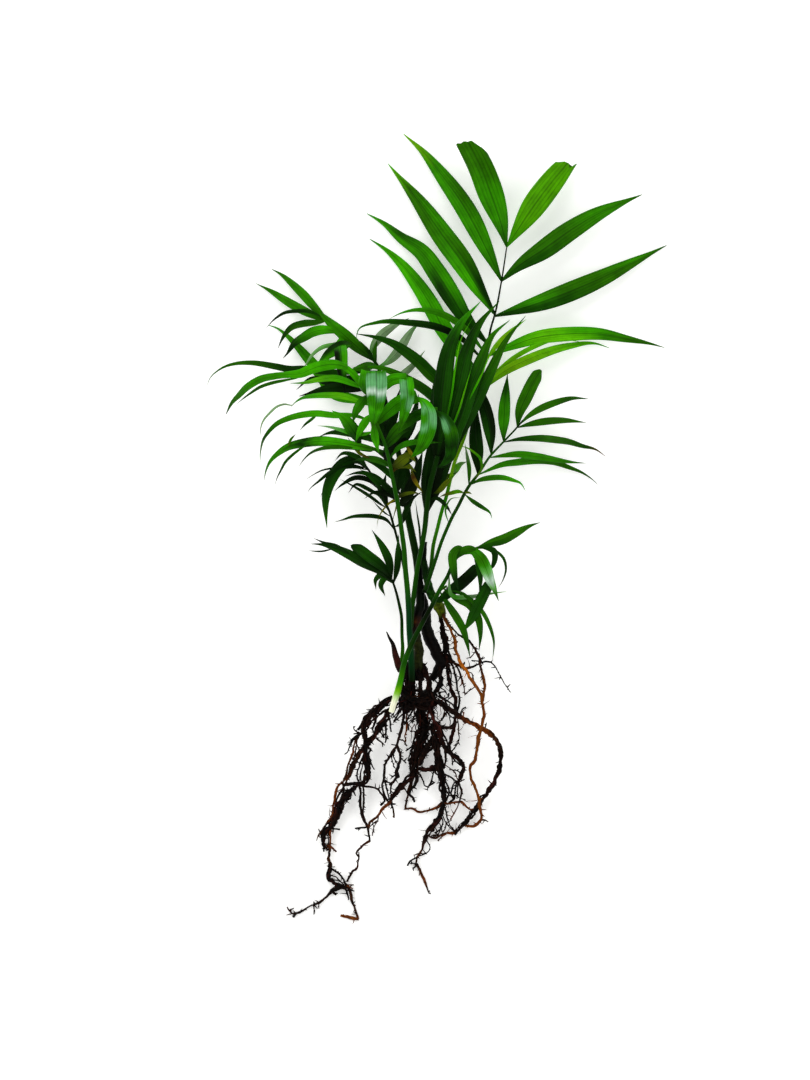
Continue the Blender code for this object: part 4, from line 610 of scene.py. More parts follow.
# The crown's dark middle as centre and half sizes, and the root bases that cross it as ropes
CROWN_LUMPS = [((-20.5, -129, 24), (6, 7, 10)), ((-7, -128, 24), (6, 7, 10))]
CROWN_ROPES = [
    ("soil", (4, 4, 4, 3.4), (28, 33, 30, 24), [-25, -101, -24.6, -112, -25.5, -124, -27.5, -134]),
    ("soil soil bark", (5, 5, 5, 4.4), (26, 34, 32, 24), [-21, -100, -21, -112, -20.5, -124, -21.5, -138]),
    ("soil", (3, 3.6, 4, 3.6), (26, 32, 32, 22), [-17.8, -104, -17.8, -113, -17.4, -123, -17.5, -135]),
    ("soil soil bark", (4, 3.8, 3.6, 4.4), (28, 36, 34, 24), [-14.8, -102, -12.4, -110, -11.4, -118, -10.5, -128,
     -10, -138]),
    ("soil bark soil maroon", (3.4, 4.2, 4.4, 4.4), (28, 34, 33, 26), [-9.4, -101, -7.8, -108.5, -5.8, -114,
     -4.8, -120, -4, -128, -4.5, -138]),
    ("soil", (4.6, 4, 3.6, 3.4), (22, 26, 30, 30), [4, -102, 3.6, -109.5, 4.4, -113.5, 2.5, -118, 0, -122,
     -3.5, -127]),
    ("soil soil bark", (4.4, 5, 5, 4), (34, 36, 34, 31), [-27, -121, -19, -127, -10, -128, -1, -126]),
    ("soil bark", (4, 4.4, 4), (30, 30, 27), [-26, -131, -16, -133, -6, -133, 1, -130]),
    ("soil", (2, 1.8, 1.4), [-15.4, -120.8, -12.6, -121, -10.4, -118.6]),
    ("umber bark", (1.4, 1.6, 1.4), [-17, -125.6, -13.6, -125.8, -10, -124.6]),
    ("soil", (1.2, 1), [-1.6, -122.6, 3, -122.6, 7.5, -122]),
    ("soil", (1.2, 0.9), [12.8, -125, 9.2, -127.6]),
    ("soil", (1, 0.7), [-6, -109, -3.4, -108.6]),
    ("soil", (1.8, 1.4), [-24, -133, -27, -137, -30, -142, -32, -144.6]),
    ("soil", (1.4, 1), [-19, -130, -20.4, -134, -22.6, -139]),
    ("soil", (1.6, 1.2), [-16, -134, -19.5, -139, -21, -142, -24, -147]),
    ("soil", (1.8, 1.2), [-14, -137, -17, -142, -18, -146]),
    ("soil", (1.4, 1.2), [-13, -138, -14.4, -142, -14, -147]),
    ("bark", (1, 0.9), [-17.5, -142.4, -13, -142.6, -9.6, -143.6]),
    ("soil", (1.2, 1), [-5, -136, -3, -141, -5.6, -147, -4, -152]),
]

# The tones of the leaves, stalks, canes and roots. The greens from black to fresh are partly the leaves' own greens
# and partly painted light and shade: black and dark mostly paint leaves and stalks that lie in shade, the brightest
# greens lit ones. The gloss, sheen and sage tones are painted highlights, and cream a painted highlight on a stalk's
# lower end.
TONES = {
    "black": "#030d02", "dark": "#082802", "deep": "#124302", "mid": "#245f00", "leaf": "#2b7d00",
    "bright": "#389c00", "fresh": "#57b005", "lime": "#6fae08", "olive_leaf": "#448f00", "sheen": "#5fa648",
    "gloss": "#c3dcc8", "sage": "#5c9e62", "pale": "#7fa070", "teal": "#043012", "cream": "#eef0d2",
    "olive": "#4a5a06", "ochre": "#7a7408", "husk": "#1e2205", "soil": "#070403", "bark": "#180a05",
    "umber": "#3a1c07", "rust": "#5e2a06", "maroon": "#35100a", "amber": "#6c3606", "orange": "#a2570f",
}
# The green light that a waxy skin throws back
SKIN_SHINE = "#b4e08c"

# Slots of the finishes on every piece of the plant
LEAF, SKIN, ROOT_BARK, CANE_BARK = range(4)
# Barks: roughness, earth grains for each metre and share of rust on worn places. The grains are 2.4 mm on roots and
# 3.3 mm on canes, drawn coarser than real earth so that they show.
BARKS = {"earthy_root_bark": (0.62, 420.0, 0.12), "ringed_cane_bark": (0.5, 300.0, 0.03)}
# Blotches on a leaf for each metre, which makes them about 11 mm wide, and how far they push the veins sideways
BLOTCHES = 90.0
VEIN_PUSH = 0.08
# Strength of a leaf's fine veins beside its main ones, and the powers that thin both
FINE_STRENGTH, FINE_POWER, MAIN_POWER = 0.4, 2.0, 8.0


def linear(hex_colour):
    """A hex sRGB colour as linear red, green and blue."""
    channels = [int(hex_colour[i : i + 2], 16) / 255 for i in (1, 3, 5)]
    return tuple(c / 12.92 if c <= 0.04045 else ((c + 0.055) / 1.055) ** 2.4 for c in channels)


class PalmLeafSettings(bpy.types.PropertyGroup):
    thickness: FloatProperty(
        name="Blade thickness", description="Thickness of a leaf blade at its middle",
        default=0.00045, min=0.0001, subtype="DISTANCE", unit="LENGTH")
    pleat: FloatProperty(
        name="Pleat depth", description="Height of the soft pleats between a blade's main veins",
        default=0.00022, min=0.0, subtype="DISTANCE", unit="LENGTH")
    wave: FloatProperty(
        name="Edge wave", description="How far a blade's edge waves up and down",
        default=0.0006, min=0.0, subtype="DISTANCE", unit="LENGTH")
    vein_count: IntProperty(name="Fine veins", description="Fine parallel veins across one blade", default=26, min=4)
    vein_shade: FloatProperty(
        name="Vein shade", description="How much darker the middle vein is than the blade",
        default=0.5, min=0.0, max=1.0, subtype="FACTOR")
    roughness: FloatProperty(
        name="Roughness", description="Roughness of the waxy blade", default=0.36, min=0.0, max=1.0, subtype="FACTOR")
    shine: FloatProperty(
        name="Shine", description="Strength of the blade's gloss", default=0.085, min=0.0, max=1.0, subtype="FACTOR")


class PalmRootSettings(bpy.types.PropertyGroup):
    knots: FloatProperty(
        name="Knots", description="How far a root's skin swells and shrinks, as a share of its radius",
        default=0.28, min=0.0, subtype="FACTOR")
    bend: FloatProperty(
        name="Bend", description="How far a root strays from its line at the most",
        default=0.0012, min=0.0, subtype="DISTANCE", unit="LENGTH")
    bundle_width: FloatProperty(
        name="Bundle width", description="Roots wider than this are bundles of strands",
        default=0.0025, min=0.0, subtype="DISTANCE", unit="LENGTH")
    core: FloatProperty(
        name="Bundle middle", description="Width of a bundle's middle root, as a share of the bundle",
        default=0.5, min=0.1, max=1.0, subtype="FACTOR")
    strands: FloatProperty(
        name="Strands", description="Strands in a bundle for each millimetre of its width", default=2.3, min=0.0)
    strand_width: FloatProperty(
        name="Strand width", description="Width of the strands in a bundle",
        default=0.0014, min=0.0002, subtype="DISTANCE", unit="LENGTH")
    strand_step: FloatProperty(
        name="Strand step", description="Distance between the rings that a root is made of",
        default=0.0009, min=0.0003, subtype="DISTANCE", unit="LENGTH")
    spur_length: FloatProperty(
        name="Spur length", description="Length of the longest common side roots",
        default=0.004, min=0.0005, subtype="DISTANCE", unit="LENGTH")
    spurs: FloatProperty(name="Spurs", description="Side roots on each centimetre of a root", default=3.8, min=0.0)


class PalmStageSettings(bpy.types.PropertyGroup):
    floor: FloatVectorProperty(
        name="Table", description="Colour of the pale table",
        default=linear("#f7f7f5"), size=3, subtype="COLOR", min=0.0, max=1.0)
    glow: FloatProperty(
        name="Table glow", description="Light that the table gives off, which keeps the shadows pale as in the photo",
        default=0.3, min=0.0)
    sky: FloatProperty(
        name="Room light", description="Strength of the even light from all round", default=0.45, min=0.0)
    key_light: FloatProperty(
        name="Key light", description="Power of the soft light over the leaves",
        default=36.0, min=0.0, subtype="POWER", unit="POWER")
    distance: FloatProperty(
        name="Camera distance", description="Height of the camera over the plant",
        default=6.0, min=0.5, subtype="DISTANCE", unit="LENGTH")


def drawn(rng, span, shape, power=1):
    """Random numbers within a span: a random share of it, raised to a power that draws most to its first end."""
    return span[0] + (span[1] - span[0]) * rng.random(shape) ** power


def travelled(line):
    """The distance along a line at each of its points: the running sum of its steps."""
    return np.concatenate(([0.0], np.cumsum(np.linalg.norm(np.diff(line, axis=0), axis=1))))


def curve(values, knots, places):
    """Values given at knots, read at other places from a cubic line through them, whose slopes fit the neighbours."""
    v = np.array(values, float)
    slope = np.gradient(v, knots, axis=0)
    i = np.clip(np.searchsorted(knots, places, side="right") - 1, 0, len(knots) - 2)
    column = (-1,) + (1,) * (v.ndim - 1)
    h = (knots[i + 1] - knots[i]).reshape(column)
    s = (places - knots[i]).reshape(column) / h
    ends = (1 + 2 * s) * (1 - s) ** 2 * v[i] + s**2 * (3 - 2 * s) * v[i + 1]
    return ends + s * (1 - s) ** 2 * h * slope[i] + s**2 * (s - 1) * h * slope[i + 1]


def eased(values, shares):
    """Values given evenly along a line, read at the given shares of it from a cubic line."""
    return curve(values, np.linspace(0.0, 1.0, len(values)), shares)


def spread(values, shares):
    """Values given evenly along a line, read at the given shares of it from straight lines."""
    return np.interp(shares, np.linspace(0.0, 1.0, len(values)), values)


def route(points, heights, count):
    """Plan points in millimetres with heights along them, as evenly spaced points of a smooth line in metres."""
    plan = np.array(points, float).reshape(-1, 2)
    passed = travelled(plan)
    line = np.column_stack([plan, spread(heights, passed / passed[-1])])
    knots = travelled(line)
    return curve(line, knots, np.linspace(0.0, knots[-1], count)) * MM


def read(rows, places):
    """Rows of values read between their numbers at the given fractional places."""
    low = np.clip(places.astype(int), 0, len(rows) - 2)
    share = places - low
    share = share.reshape(share.shape + (1,) * (rows.ndim - 1))
    return rows[low] * (1 - share) + rows[low + 1] * share


def tints(tones, shares):
    """The named tones given evenly along a piece, blended at the given shares, as linear colours."""
    table = np.array([linear(TONES[tone]) for tone in tones])
    return np.column_stack([spread(table[:, channel], shares) for channel in range(3)])


def sides(names):
    """The left and right tones in a row of names, where two with a stroke between them differ, which mostly paints
    light on one half of a blade and shade on the other.
    """
    pairs = [name.split("/") for name in names.split()]
    return [pair[0] for pair in pairs], [pair[-1] for pair in pairs]


def unit(vectors):
    """The vectors at length one."""
    return vectors / np.maximum(np.linalg.norm(vectors, axis=-1, keepdims=True), 1e-12)


def frames(line):
    """Tangent, level sideways and upward directions along a line."""
    forward = unit(np.gradient(line, axis=0))
    side = unit(np.cross(forward, UP))
    return forward, side, np.cross(side, forward)


def ring_faces(rings, around):
    """Quads between closed rings of points, and a many-sided face on each end."""
    ring, spot = np.meshgrid(np.arange(rings - 1), np.arange(around), indexing="ij")
    beside = (spot + 1) % around
    low, high = ring * around, (ring + 1) * around
    quads = np.stack([low + spot, low + beside, high + beside, high + spot], axis=-1).reshape(-1, 4)
    first = np.arange(around)[::-1]
    last = np.arange(around) + (rings - 1) * around
    return quads.tolist() + [first.tolist(), last.tolist()]


def piece(rings, uv, tint, slot):
    """Closed rings of points with their pattern places, colours and material slot. Rings that face in are turned."""
    count, around = rings.shape[:2]
    middle = rings.mean(axis=1, keepdims=True)
    ahead = unit(np.gradient(middle[:, 0], axis=0))[:, None]
    swirl = np.cross(rings - middle, np.roll(rings, -1, axis=1) - middle)
    if (swirl * ahead).sum() < 0:
        rings, uv, tint = rings[:, ::-1], uv[:, ::-1], tint[:, ::-1]
    return {
        "points": rings.reshape(-1, 3),
        "faces": ring_faces(count, around),
        "uv": uv.reshape(-1, 2),
        "tint": tint.reshape(-1, 3),
        "slot": slot,
    }


# Edges that turn by more than this many degrees stay sharp
SHARP_DEGREES = 60


def assemble(name, parts, materials):
    """One object from the pieces, with its colours, pattern map and smooth faces."""
    start, faces, slots = 0, [], []
    for part in parts:
        faces += [[corner + start for corner in face] for face in part["faces"]]
        slots += [part["slot"]] * len(part["faces"])
        start += len(part["points"])
    mesh = bpy.data.meshes.new(name)
    mesh.from_pydata(np.vstack([part["points"] for part in parts]), [], faces)
    tint = np.vstack([part["tint"] for part in parts])
    colours = mesh.color_attributes.new("tint", "FLOAT_COLOR", "POINT")
    colours.data.foreach_set("color", np.column_stack([tint, np.ones(len(tint))]).ravel())
    corners = np.empty(len(mesh.loops), int)
    mesh.loops.foreach_get("vertex_index", corners)
    uv = np.vstack([part["uv"] for part in parts])
    mesh.uv_layers.new(name="pattern").data.foreach_set("uv", uv[corners].ravel())
    mesh.polygons.foreach_set("material_index", np.array(slots))
    mesh.polygons.foreach_set("use_smooth", np.ones(len(slots), bool))
    for material in materials:
        mesh.materials.append(material)
    mesh.set_sharp_from_angle(angle=math.radians(SHARP_DEGREES))
    made = bpy.data.objects.new(name, mesh)
    bpy.context.scene.collection.objects.link(made)
    return made


# Half widths along a blade from base to tip, as shares of its widest place
OUTLINES = {
    "lance": (0.1, 0.42, 0.73, 0.93, 1.0, 0.97, 0.87, 0.7, 0.47, 0.22, 0.03),
    "reed": (0.5, 0.95, 1.0, 0.85, 0.62, 0.66, 0.7, 0.66, 0.52, 0.3, 0.04),
    "strap": (0.92, 1.0, 1.0, 0.97, 0.92, 0.84, 0.74, 0.62, 0.46, 0.26, 0.04),
    "sickle": (0.08, 0.45, 0.75, 0.95, 1.0, 1.0, 0.95, 0.84, 0.66, 0.38, 0.04),
    "flap": (0.3, 0.5, 0.7, 0.84, 0.94, 1.0, 1.0, 0.98, 0.95, 0.92, 0.88),
    "hooked": (0.06, 0.3, 0.55, 0.76, 0.92, 1.0, 1.0, 0.98, 0.95, 0.92, 0.9),
    "notched": (0.06, 0.3, 0.55, 0.78, 0.94, 1.0, 1.0, 0.96, 0.88, 0.76, 0.62),
    "blunt": (0.1, 0.35, 0.62, 0.82, 0.95, 1.0, 1.0, 0.98, 0.95, 0.88, 0.7),
}
# How much earlier a blunt blade ends than its middle line, from its left edge to its right, as shares of its length,
# and how far its torn end goes in and out, with the radians of that from edge to middle
CUTS = {
    "hooked": (0.0, 0.01, 0.02, 0.06, 0.18),
    "notched": (0.13, 0.09, 0.06, 0.08, 0.0),
    "blunt": (0.08, 0.02, 0.0, 0.03, 0.14),
}
TORN_DEPTH, TORN_WAVES = 0.008, 11
# Share of its turn that a blade loses on the way to its tip, where it leans a little the other way
UNTWIST = 1.6
# Half widths in millimetres from which a blade has its full pleats and edge wave, and its full thickness
BROAD_MM, STOUT_MM = 5, 2
# The fold's own level between middle vein and edge, and the power by which the halves curve as they drop
FOLD_LEVEL, FOLD_CURVE = 0.4, 1.25
# Pleats across a blade, and radians of edge wave from base to tip with what a blade's seed adds
PLEATS = 7
EDGE_WAVES, EDGE_SHIFT = 17, 1.7
# Thickness of an edge and least thickness of a narrow end, as a share of the full one
THIN_EDGE = 0.35
# Tone borders, such as the edges of the painted highlight bands and painted shade, wave along the blade
# Borders between tones: how far they swing along the blade, radians from edge to middle and what the seed adds
BORDER_WAVES = ((0.022, 4, 1), (0.01, 11, 2))
# How sharply the left tones change to the right ones at the middle vein, where painted light meets painted shade
VEIN_EDGE = 5


def blade(width, tones, heights, points, kind="lance", fold=0.2, turn=6, stations=46, across=13, seed=0):
    """A leaf blade: its middle line is widened sideways by the outline, each lengthwise line ends early by its cut, the
    two halves drop from the middle vein by the fold, and soft pleats and a slow edge wave are added upwards."""
    leaf = bpy.context.scene.palm_leaf
    s = np.linspace(0.0, 1.0, stations)
    line = route(points, heights, stations)
    forward, side, rise = frames(line)
    angle = np.radians(turn) * (1 - UNTWIST * s)
    across_way = side * np.cos(angle)[:, None] + rise * np.sin(angle)[:, None]
    up_way = rise * np.cos(angle)[:, None] - side * np.sin(angle)[:, None]
    half = eased(OUTLINES[kind], s) * width / 2 * MM
    v = np.linspace(-1.0, 1.0, across)
    cut = np.zeros(across)
    if kind in CUTS:
        cut = eased(CUTS[kind], (v + 1) / 2) + TORN_DEPTH * (1 + np.cos(v * TORN_WAVES + seed))
    places = s[:, None] * (1 - cut) * (stations - 1)
    half, up_way, across_way = read(half, places), read(up_way, places), read(across_way, places)
    broad = np.minimum(1, half / (BROAD_MM * MM))
    lift = fold * half * (FOLD_LEVEL - np.abs(v) ** FOLD_CURVE)
    lift = lift + leaf.pleat * np.cos(v * np.pi * PLEATS) * broad
    lift = lift + leaf.wave * np.sin(s[:, None] * EDGE_WAVES + seed * EDGE_SHIFT) * np.sign(v) * v**2 * broad
    middle = read(line, places) + across_way * (half * v)[..., None] + up_way * lift[..., None]
    stout = np.clip(half / (STOUT_MM * MM), THIN_EDGE, 1)
    thick = up_way * (leaf.thickness * (THIN_EDGE + (1 - THIN_EDGE) * (1 - v**2)) * stout)[..., None]
    rings = np.concatenate([middle + thick / 2, (middle - thick / 2)[:, ::-1]], axis=1)
    rings[..., 2] = np.maximum(rings[..., 2], TABLE_GAP)
    v = np.concatenate([v, v[::-1]])
    # The tints hold painted highlight bands, painted shade and painted shadows; their borders wave along the blade, and
    # a painted lit half meets a painted shaded half at the middle vein
    patch = s[:, None] + sum(swing * np.sin(v * pace + seed * shift) for swing, pace, shift in BORDER_WAVES)
    patch = np.clip(patch, 0, 1).ravel()
    left, right = (tints(row, patch).reshape(stations, -1, 3) for row in sides(tones))
    share = (0.5 + 0.5 * np.tanh(v * VEIN_EDGE))[None, :, None]
    tint = left * (1 - share) + right * share
    return piece(rings, np.stack(np.broadcast_arrays(v, s[:, None]), axis=-1), tint, LEAF)


# Half width of a stalk's groove in radians
GROOVE_WIDTH = 0.5
# A root's skin swells by waves and its line bends by others. They are counted in steps of this many metres, and a wave
# is its radians for a step, its turns round the root where it has them, what the seed adds and its height.
KNOT_STEP = 0.006
KNOT_WAVES = ((2.1, 0, 1, 0.5), (5.3, 1, 2, 0.35), (9.7, 3, 1, 0.25))
BEND_WAVES = ((1.3, 1, 0.35), (3.1, 3, 0.15))
# Height of a cane's rings as a share of its radius, and their width as a share of the way between them
RING_HEIGHT, RING_WIDTH = 0.1, 0.3
# Length of stalk or root for one step of its pattern
PATTERN_STEP = CM


def tube(widths, tones, heights, points, slot, stations, around, groove=0.0, knots=0.0, rings_every=0.0, seed=0):
    """A round stalk or root: a circle carried along a line, with an optional groove on top, swellings as sums of sines
    and raised rings at an even spacing."""
    s = np.linspace(0.0, 1.0, stations)
    line = route(points, heights, stations)
    forward, side, rise = frames(line)
    turn = np.linspace(0, 2 * np.pi, around, endpoint=False)
    radius = spread(widths, s)[:, None] / 2 * MM * np.ones(around)
    radius = radius * (1 - groove * np.exp(-(((turn - np.pi / 2) / GROOVE_WIDTH) ** 2)))
    length = travelled(line)[-1]
    if knots:
        step = s[:, None] * length / KNOT_STEP
        waves = (high * np.sin(step * pace + turn * turns + seed * shift) for pace, turns, shift, high in KNOT_WAVES)
        radius = radius * (1 + knots * sum(waves))
        bend = sum(high * np.sin(step * pace + seed * shift) for pace, shift, high in BEND_WAVES)
        line = line + side * bend * np.minimum(radius.mean(axis=1, keepdims=True), bpy.context.scene.palm_root.bend)
    if rings_every:
        rise_and_fall = np.sin(s * np.pi * length / (rings_every * MM)) / RING_WIDTH
        radius = radius * (1 + RING_HEIGHT * np.exp(-(rise_and_fall**2)))[:, None]
    spot = side[:, None] * np.cos(turn)[None, :, None] + rise[:, None] * np.sin(turn)[None, :, None]
    rings = line[:, None] + spot * radius[..., None]
    rings[..., 2] = np.maximum(rings[..., 2], TABLE_GAP)
    uv = np.stack(np.broadcast_arrays(turn / (2 * np.pi), s[:, None] * length / PATTERN_STEP), axis=-1)
    tint = np.repeat(tints(sides(tones)[0], s)[:, None], around, axis=1)
    return piece(rings, uv, tint, slot)


# A direction that no rootlet runs along, from which their sideways directions are taken
LEANING = np.array([0.13, 0.21, 1.0])


def many_tubes(lines, radii, tint, around):
    """Many thin root tubes at once: a circle carried along each of an array of lines, with a radius at each point."""
    count, steps = lines.shape[:2]
    forward = unit(np.gradient(lines, axis=1))
    side = unit(np.cross(forward, LEANING))
    rise = np.cross(side, forward)
    turn = np.linspace(0, 2 * np.pi, around, endpoint=False)
    spot = side[:, :, None] * np.cos(turn)[:, None] + rise[:, :, None] * np.sin(turn)[:, None]
    rings = lines[:, :, None] + spot * radii[:, :, None, None]
    rings[..., 2] = np.maximum(rings[..., 2], TABLE_GAP)
    one = ring_faces(steps, around)
    starts = range(0, count * steps * around, steps * around)
    turn_uv = np.broadcast_to(turn / (2 * np.pi), (count, steps, around))
    step_uv = np.broadcast_to(np.linspace(0, 1, steps)[None, :, None], (count, steps, around))
    return {
        "points": rings.reshape(-1, 3),
        "faces": [[corner + start for corner in face] for start in starts for face in one],
        "uv": np.stack([turn_uv, step_uv], axis=-1).reshape(-1, 2),
        "tint": np.broadcast_to(tint[:, :, None], (count, steps, around, 3)).reshape(-1, 3),
        "slot": ROOT_BARK,
    }


def kinks(along, length, phase):
    """Angular waves from minus one to one: the height of a zigzag of the given wave length."""
    return np.arcsin(np.sin(2 * np.pi * along / length + phase)) * 2 / np.pi


# Strands of a bundle: the fewest, the least and most points of one, its sides, how far it stays within the bundle's
# edge as a share of its width, and the shares of the root at which it begins and that it covers
FEWEST_STRANDS, STRAND_POINTS, STRAND_SIDES, STRAND_INSIDE = 3, (10, 110), 6, 1 / 3
STRAND_BEGIN, STRAND_COVER = (-0.4, 0.5), (0.35, 1.1)
# Lengths in metres of its long and its middling waves, and how far each moves it sideways and up, as shares of the
# bundle's half width. Its shortest waves and its swellings have one length, and the shortest a height in metres.
LONG_WAVE, MIDDLE_WAVE = (0.03, 0.07), (0.009, 0.02)
SIDEWAYS_SHARES, UPWARD_SHARES = (0.85, 0.45), (0.6, 0.3)
SHORT_WAVE, SHORT_HEIGHT = 0.0052, 0.00022
SWELLING_WAVE, SWELLING = 0.0041, 0.2
# Its thickness as a share of the usual one, the share of that at its ends, and how many end pieces would cover it
STRAND_THICKNESS, STRAND_END, STRAND_ENDS = (0.7, 1.3), 0.35, 9
# How dark most are and how bright a few, and the share of maroon that hardly any gets much of
STRAND_SHADE, STRAND_MAROON = (0.3, 1.8), (0.0, 0.8)


def strands(line, widths, tones, rng):
    """The strands of a thick root. Each runs over a part of its line and swings across it in long waves, in angular
    middling ones and in short ones, so that the strands cross, part and meet again."""
    root = bpy.context.scene.palm_root
    length = travelled(line)[-1]
    count = max(FEWEST_STRANDS, round(root.strands * np.mean(widths)))
    s = np.linspace(0.0, 1.0, int(np.clip(length / root.strand_step, *STRAND_POINTS)))
    phase = drawn(rng, (0, 2 * np.pi), (6, count, 1))
    begin = np.maximum(0.0, drawn(rng, STRAND_BEGIN, (count, 1)))
    end = np.minimum(1.0, begin + drawn(rng, STRAND_COVER, (count, 1)))
    place = begin + (end - begin) * s
    along = place * length
    index = place * (len(line) - 1)
    forward, side, rise = (read(way, index) for way in frames(line))
    half = spread(widths, place) / 2 * MM - root.strand_width * STRAND_INSIDE
    long_step = 2 * np.pi * along / drawn(rng, LONG_WAVE, (count, 1))
    middle_wave = drawn(rng, MIDDLE_WAVE, (count, 1))
    sideways = SIDEWAYS_SHARES[0] * np.sin(long_step + phase[0])
    sideways = sideways + SIDEWAYS_SHARES[1] * kinks(along, middle_wave, phase[1])
    upward = UPWARD_SHARES[0] * np.cos(long_step + phase[2])
    upward = upward + UPWARD_SHARES[1] * kinks(along, middle_wave, phase[3])
    shake = SHORT_HEIGHT * np.sin(2 * np.pi * along / SHORT_WAVE + phase[4])
    lines = read(line, index) + side * (half * sideways + shake)[..., None] + rise * (half * upward + shake)[..., None]
    radii = root.strand_width / 2 * drawn(rng, STRAND_THICKNESS, (count, 1))
    radii = radii * (1 + SWELLING * np.sin(2 * np.pi * along / SWELLING_WAVE + phase[5]))
    radii = radii * np.clip(np.minimum(s, 1 - s) * STRAND_ENDS, STRAND_END, 1)
    lines[..., 2] = np.maximum(lines[..., 2], radii)
    tint = tints(sides(tones)[0], place.ravel()).reshape(count, -1, 3)
    tint = tint * drawn(rng, STRAND_SHADE, (count, 1, 1), power=3)
    tint = tint + np.array(linear(TONES["maroon"])) * drawn(rng, STRAND_MAROON, (count, 1, 1), power=12)
    return many_tubes(lines, radii, tint, STRAND_SIDES)


# Side roots. Points of one, how far they leave upwards as a share of sideways, and how far they lean along the root
SPUR_POINTS = 6
SPUR_RISE, SPUR_SLANT = 0.3, (-0.6, 1.3)
# Share of the root's radius from which one starts to count, and its length as a share of the longest
SPUR_ROOTED, SPUR_REACH = 0.8, (0.18, 1.0)
# Share that is slim, how much longer and thinner those are, and how far a side root bends and how much more a slim one
SLIM_SHARE, SLIM_LONGER, SLIM_THINNER = 0.11, 1.6, 0.45
SPUR_BEND, SLIM_BEND = 0.1, 0.25
# How far one droops as a share of its length, its radius in metres, the share that it loses by its tip and its shade
SPUR_DROOP, SPUR_RADIUS, SPUR_TAPER, SPUR_SHADE = 0.3, (0.00042, 0.00072), 0.8, (0.5, 1.3)
SPUR_SIDES = 5


def spurs(line, widths, tones, rng):
    """Side roots: straight lines that leave a root at a slant, bend and droop by the square of the way along them, and
    narrow to a point. Most are short and nearly straight like thorns; one in nine is long, thin and bent."""
    root = bpy.context.scene.palm_root
    count = max(1, round(travelled(line)[-1] / CM * root.spurs))
    s = rng.random(count)
    start = read(line, s * (len(line) - 1))
    forward, side, rise = (read(way, s * (len(line) - 1)) for way in frames(line))
    turn = rng.random(count) * 2 * np.pi
    out = side * np.cos(turn)[:, None] + rise * np.sin(turn)[:, None] * SPUR_RISE
    out = unit(out + forward * drawn(rng, SPUR_SLANT, (count, 1)))
    across = unit(np.cross(out, UP))
    slim = (rng.random((count, 1)) < SLIM_SHARE).astype(float)
    reach = root.spur_length * drawn(rng, SPUR_REACH, (count, 1), power=3) * (1 + SLIM_LONGER * slim)
    reach = reach + spread(widths, s)[:, None] / 2 * MM * SPUR_ROOTED
    t = np.linspace(0, 1, SPUR_POINTS)[None, :]
    waves = rng.normal(size=(count, 1)) * (SPUR_BEND + SLIM_BEND * slim) * t**2
    lines = start[:, None] + (out[:, None] * t[..., None] + across[:, None] * waves[..., None]) * reach[:, None]
    lines[..., 2] = lines[..., 2] - SPUR_DROOP * reach * t**2
    radii = drawn(rng, SPUR_RADIUS, (count, 1)) * (1 - SLIM_THINNER * slim) * (1 - SPUR_TAPER * t**2)
    lines[..., 2] = np.maximum(lines[..., 2], radii)
    tint = np.repeat(tints(sides(tones)[0], s)[:, None], SPUR_POINTS, axis=1)
    return many_tubes(lines, radii, tint * drawn(rng, SPUR_SHADE, (count, 1, 1)), SPUR_SIDES)


# Points that give a rope's length and its missing heights, and the fewest rings and the sides of its middle root
ROUGH_POINTS = 9
FEWEST_RINGS, ROPE_SIDES = 8, 10


def root_parts(ropes, rng):
    """The parts of one root. A thick rope is a thin middle with strands round it, a thin one a single strand, and each
    has its spurs. A rope with no heights takes those of the nearest places on the ropes laid before it."""
    root = bpy.context.scene.palm_root
    parts, laid = [], np.zeros((0, 3))
    for number, (tones, widths, *heights, points) in enumerate(ropes):
        if heights:
            heights = heights[0]
        else:
            flat = route(points, (0,), ROUGH_POINTS)
            heights = laid[np.linalg.norm(flat[:, None, :2] - laid[:, :2], axis=-1).argmin(axis=1), 2] / MM
        length = travelled(route(points, heights, ROUGH_POINTS))[-1]
        stations = max(FEWEST_RINGS, round(length / root.strand_step))
        line = route(points, heights, stations)
        thick = np.mean(widths) * MM > root.bundle_width
        middle = [width * root.core for width in widths] if thick else widths
        look = {"knots": root.knots, "seed": number}
        parts.append(tube(middle, tones, heights, points, ROOT_BARK, stations, ROPE_SIDES, **look))
        if thick:
            parts.append(strands(line, widths, tones, rng))
        parts.append(spurs(line, widths, tones, rng))
        laid = np.vstack([laid, line])
    return parts


def fill(tree, made, settings=None, links=None):
    """Gives a node its settings and links. A link is an input's name or number and the node or output that feeds it."""
    for key, value in (settings or {}).items():
        if isinstance(key, str) and hasattr(made, key):
            setattr(made, key, value)
        else:
            made.inputs[key].default_value = value
    for socket, source in (links or {}).items():
        tree.links.new(source.outputs[0] if isinstance(source, bpy.types.Node) else source, made.inputs[socket])
    return made


def node(tree, kind, settings=None, links=None):
    """Adds a node with its settings and links."""
    return fill(tree, tree.nodes.new("ShaderNode" + kind), settings, links)


def fresh(name):
    """The node tree of a new material, and its Principled shader."""
    material = bpy.data.materials.new(name)
    material.use_nodes = True
    return material.node_tree, material.node_tree.nodes["Principled BSDF"]


def lines_across(tree, across, count, power):
    """Evenly spaced lines along a blade: a cosine of the place across it, raised to a power that thins them."""
    turned = node(tree, "Math", {"operation": "MULTIPLY", 1: math.pi * count}, {0: across})
    waves = node(tree, "Math", {"operation": "COSINE"}, {0: turned})
    raised = node(tree, "Math", {"operation": "MULTIPLY_ADD", 1: 0.5, 2: 0.5}, {0: waves})
    return node(tree, "Math", {"operation": "POWER", 1: power}, {0: raised})


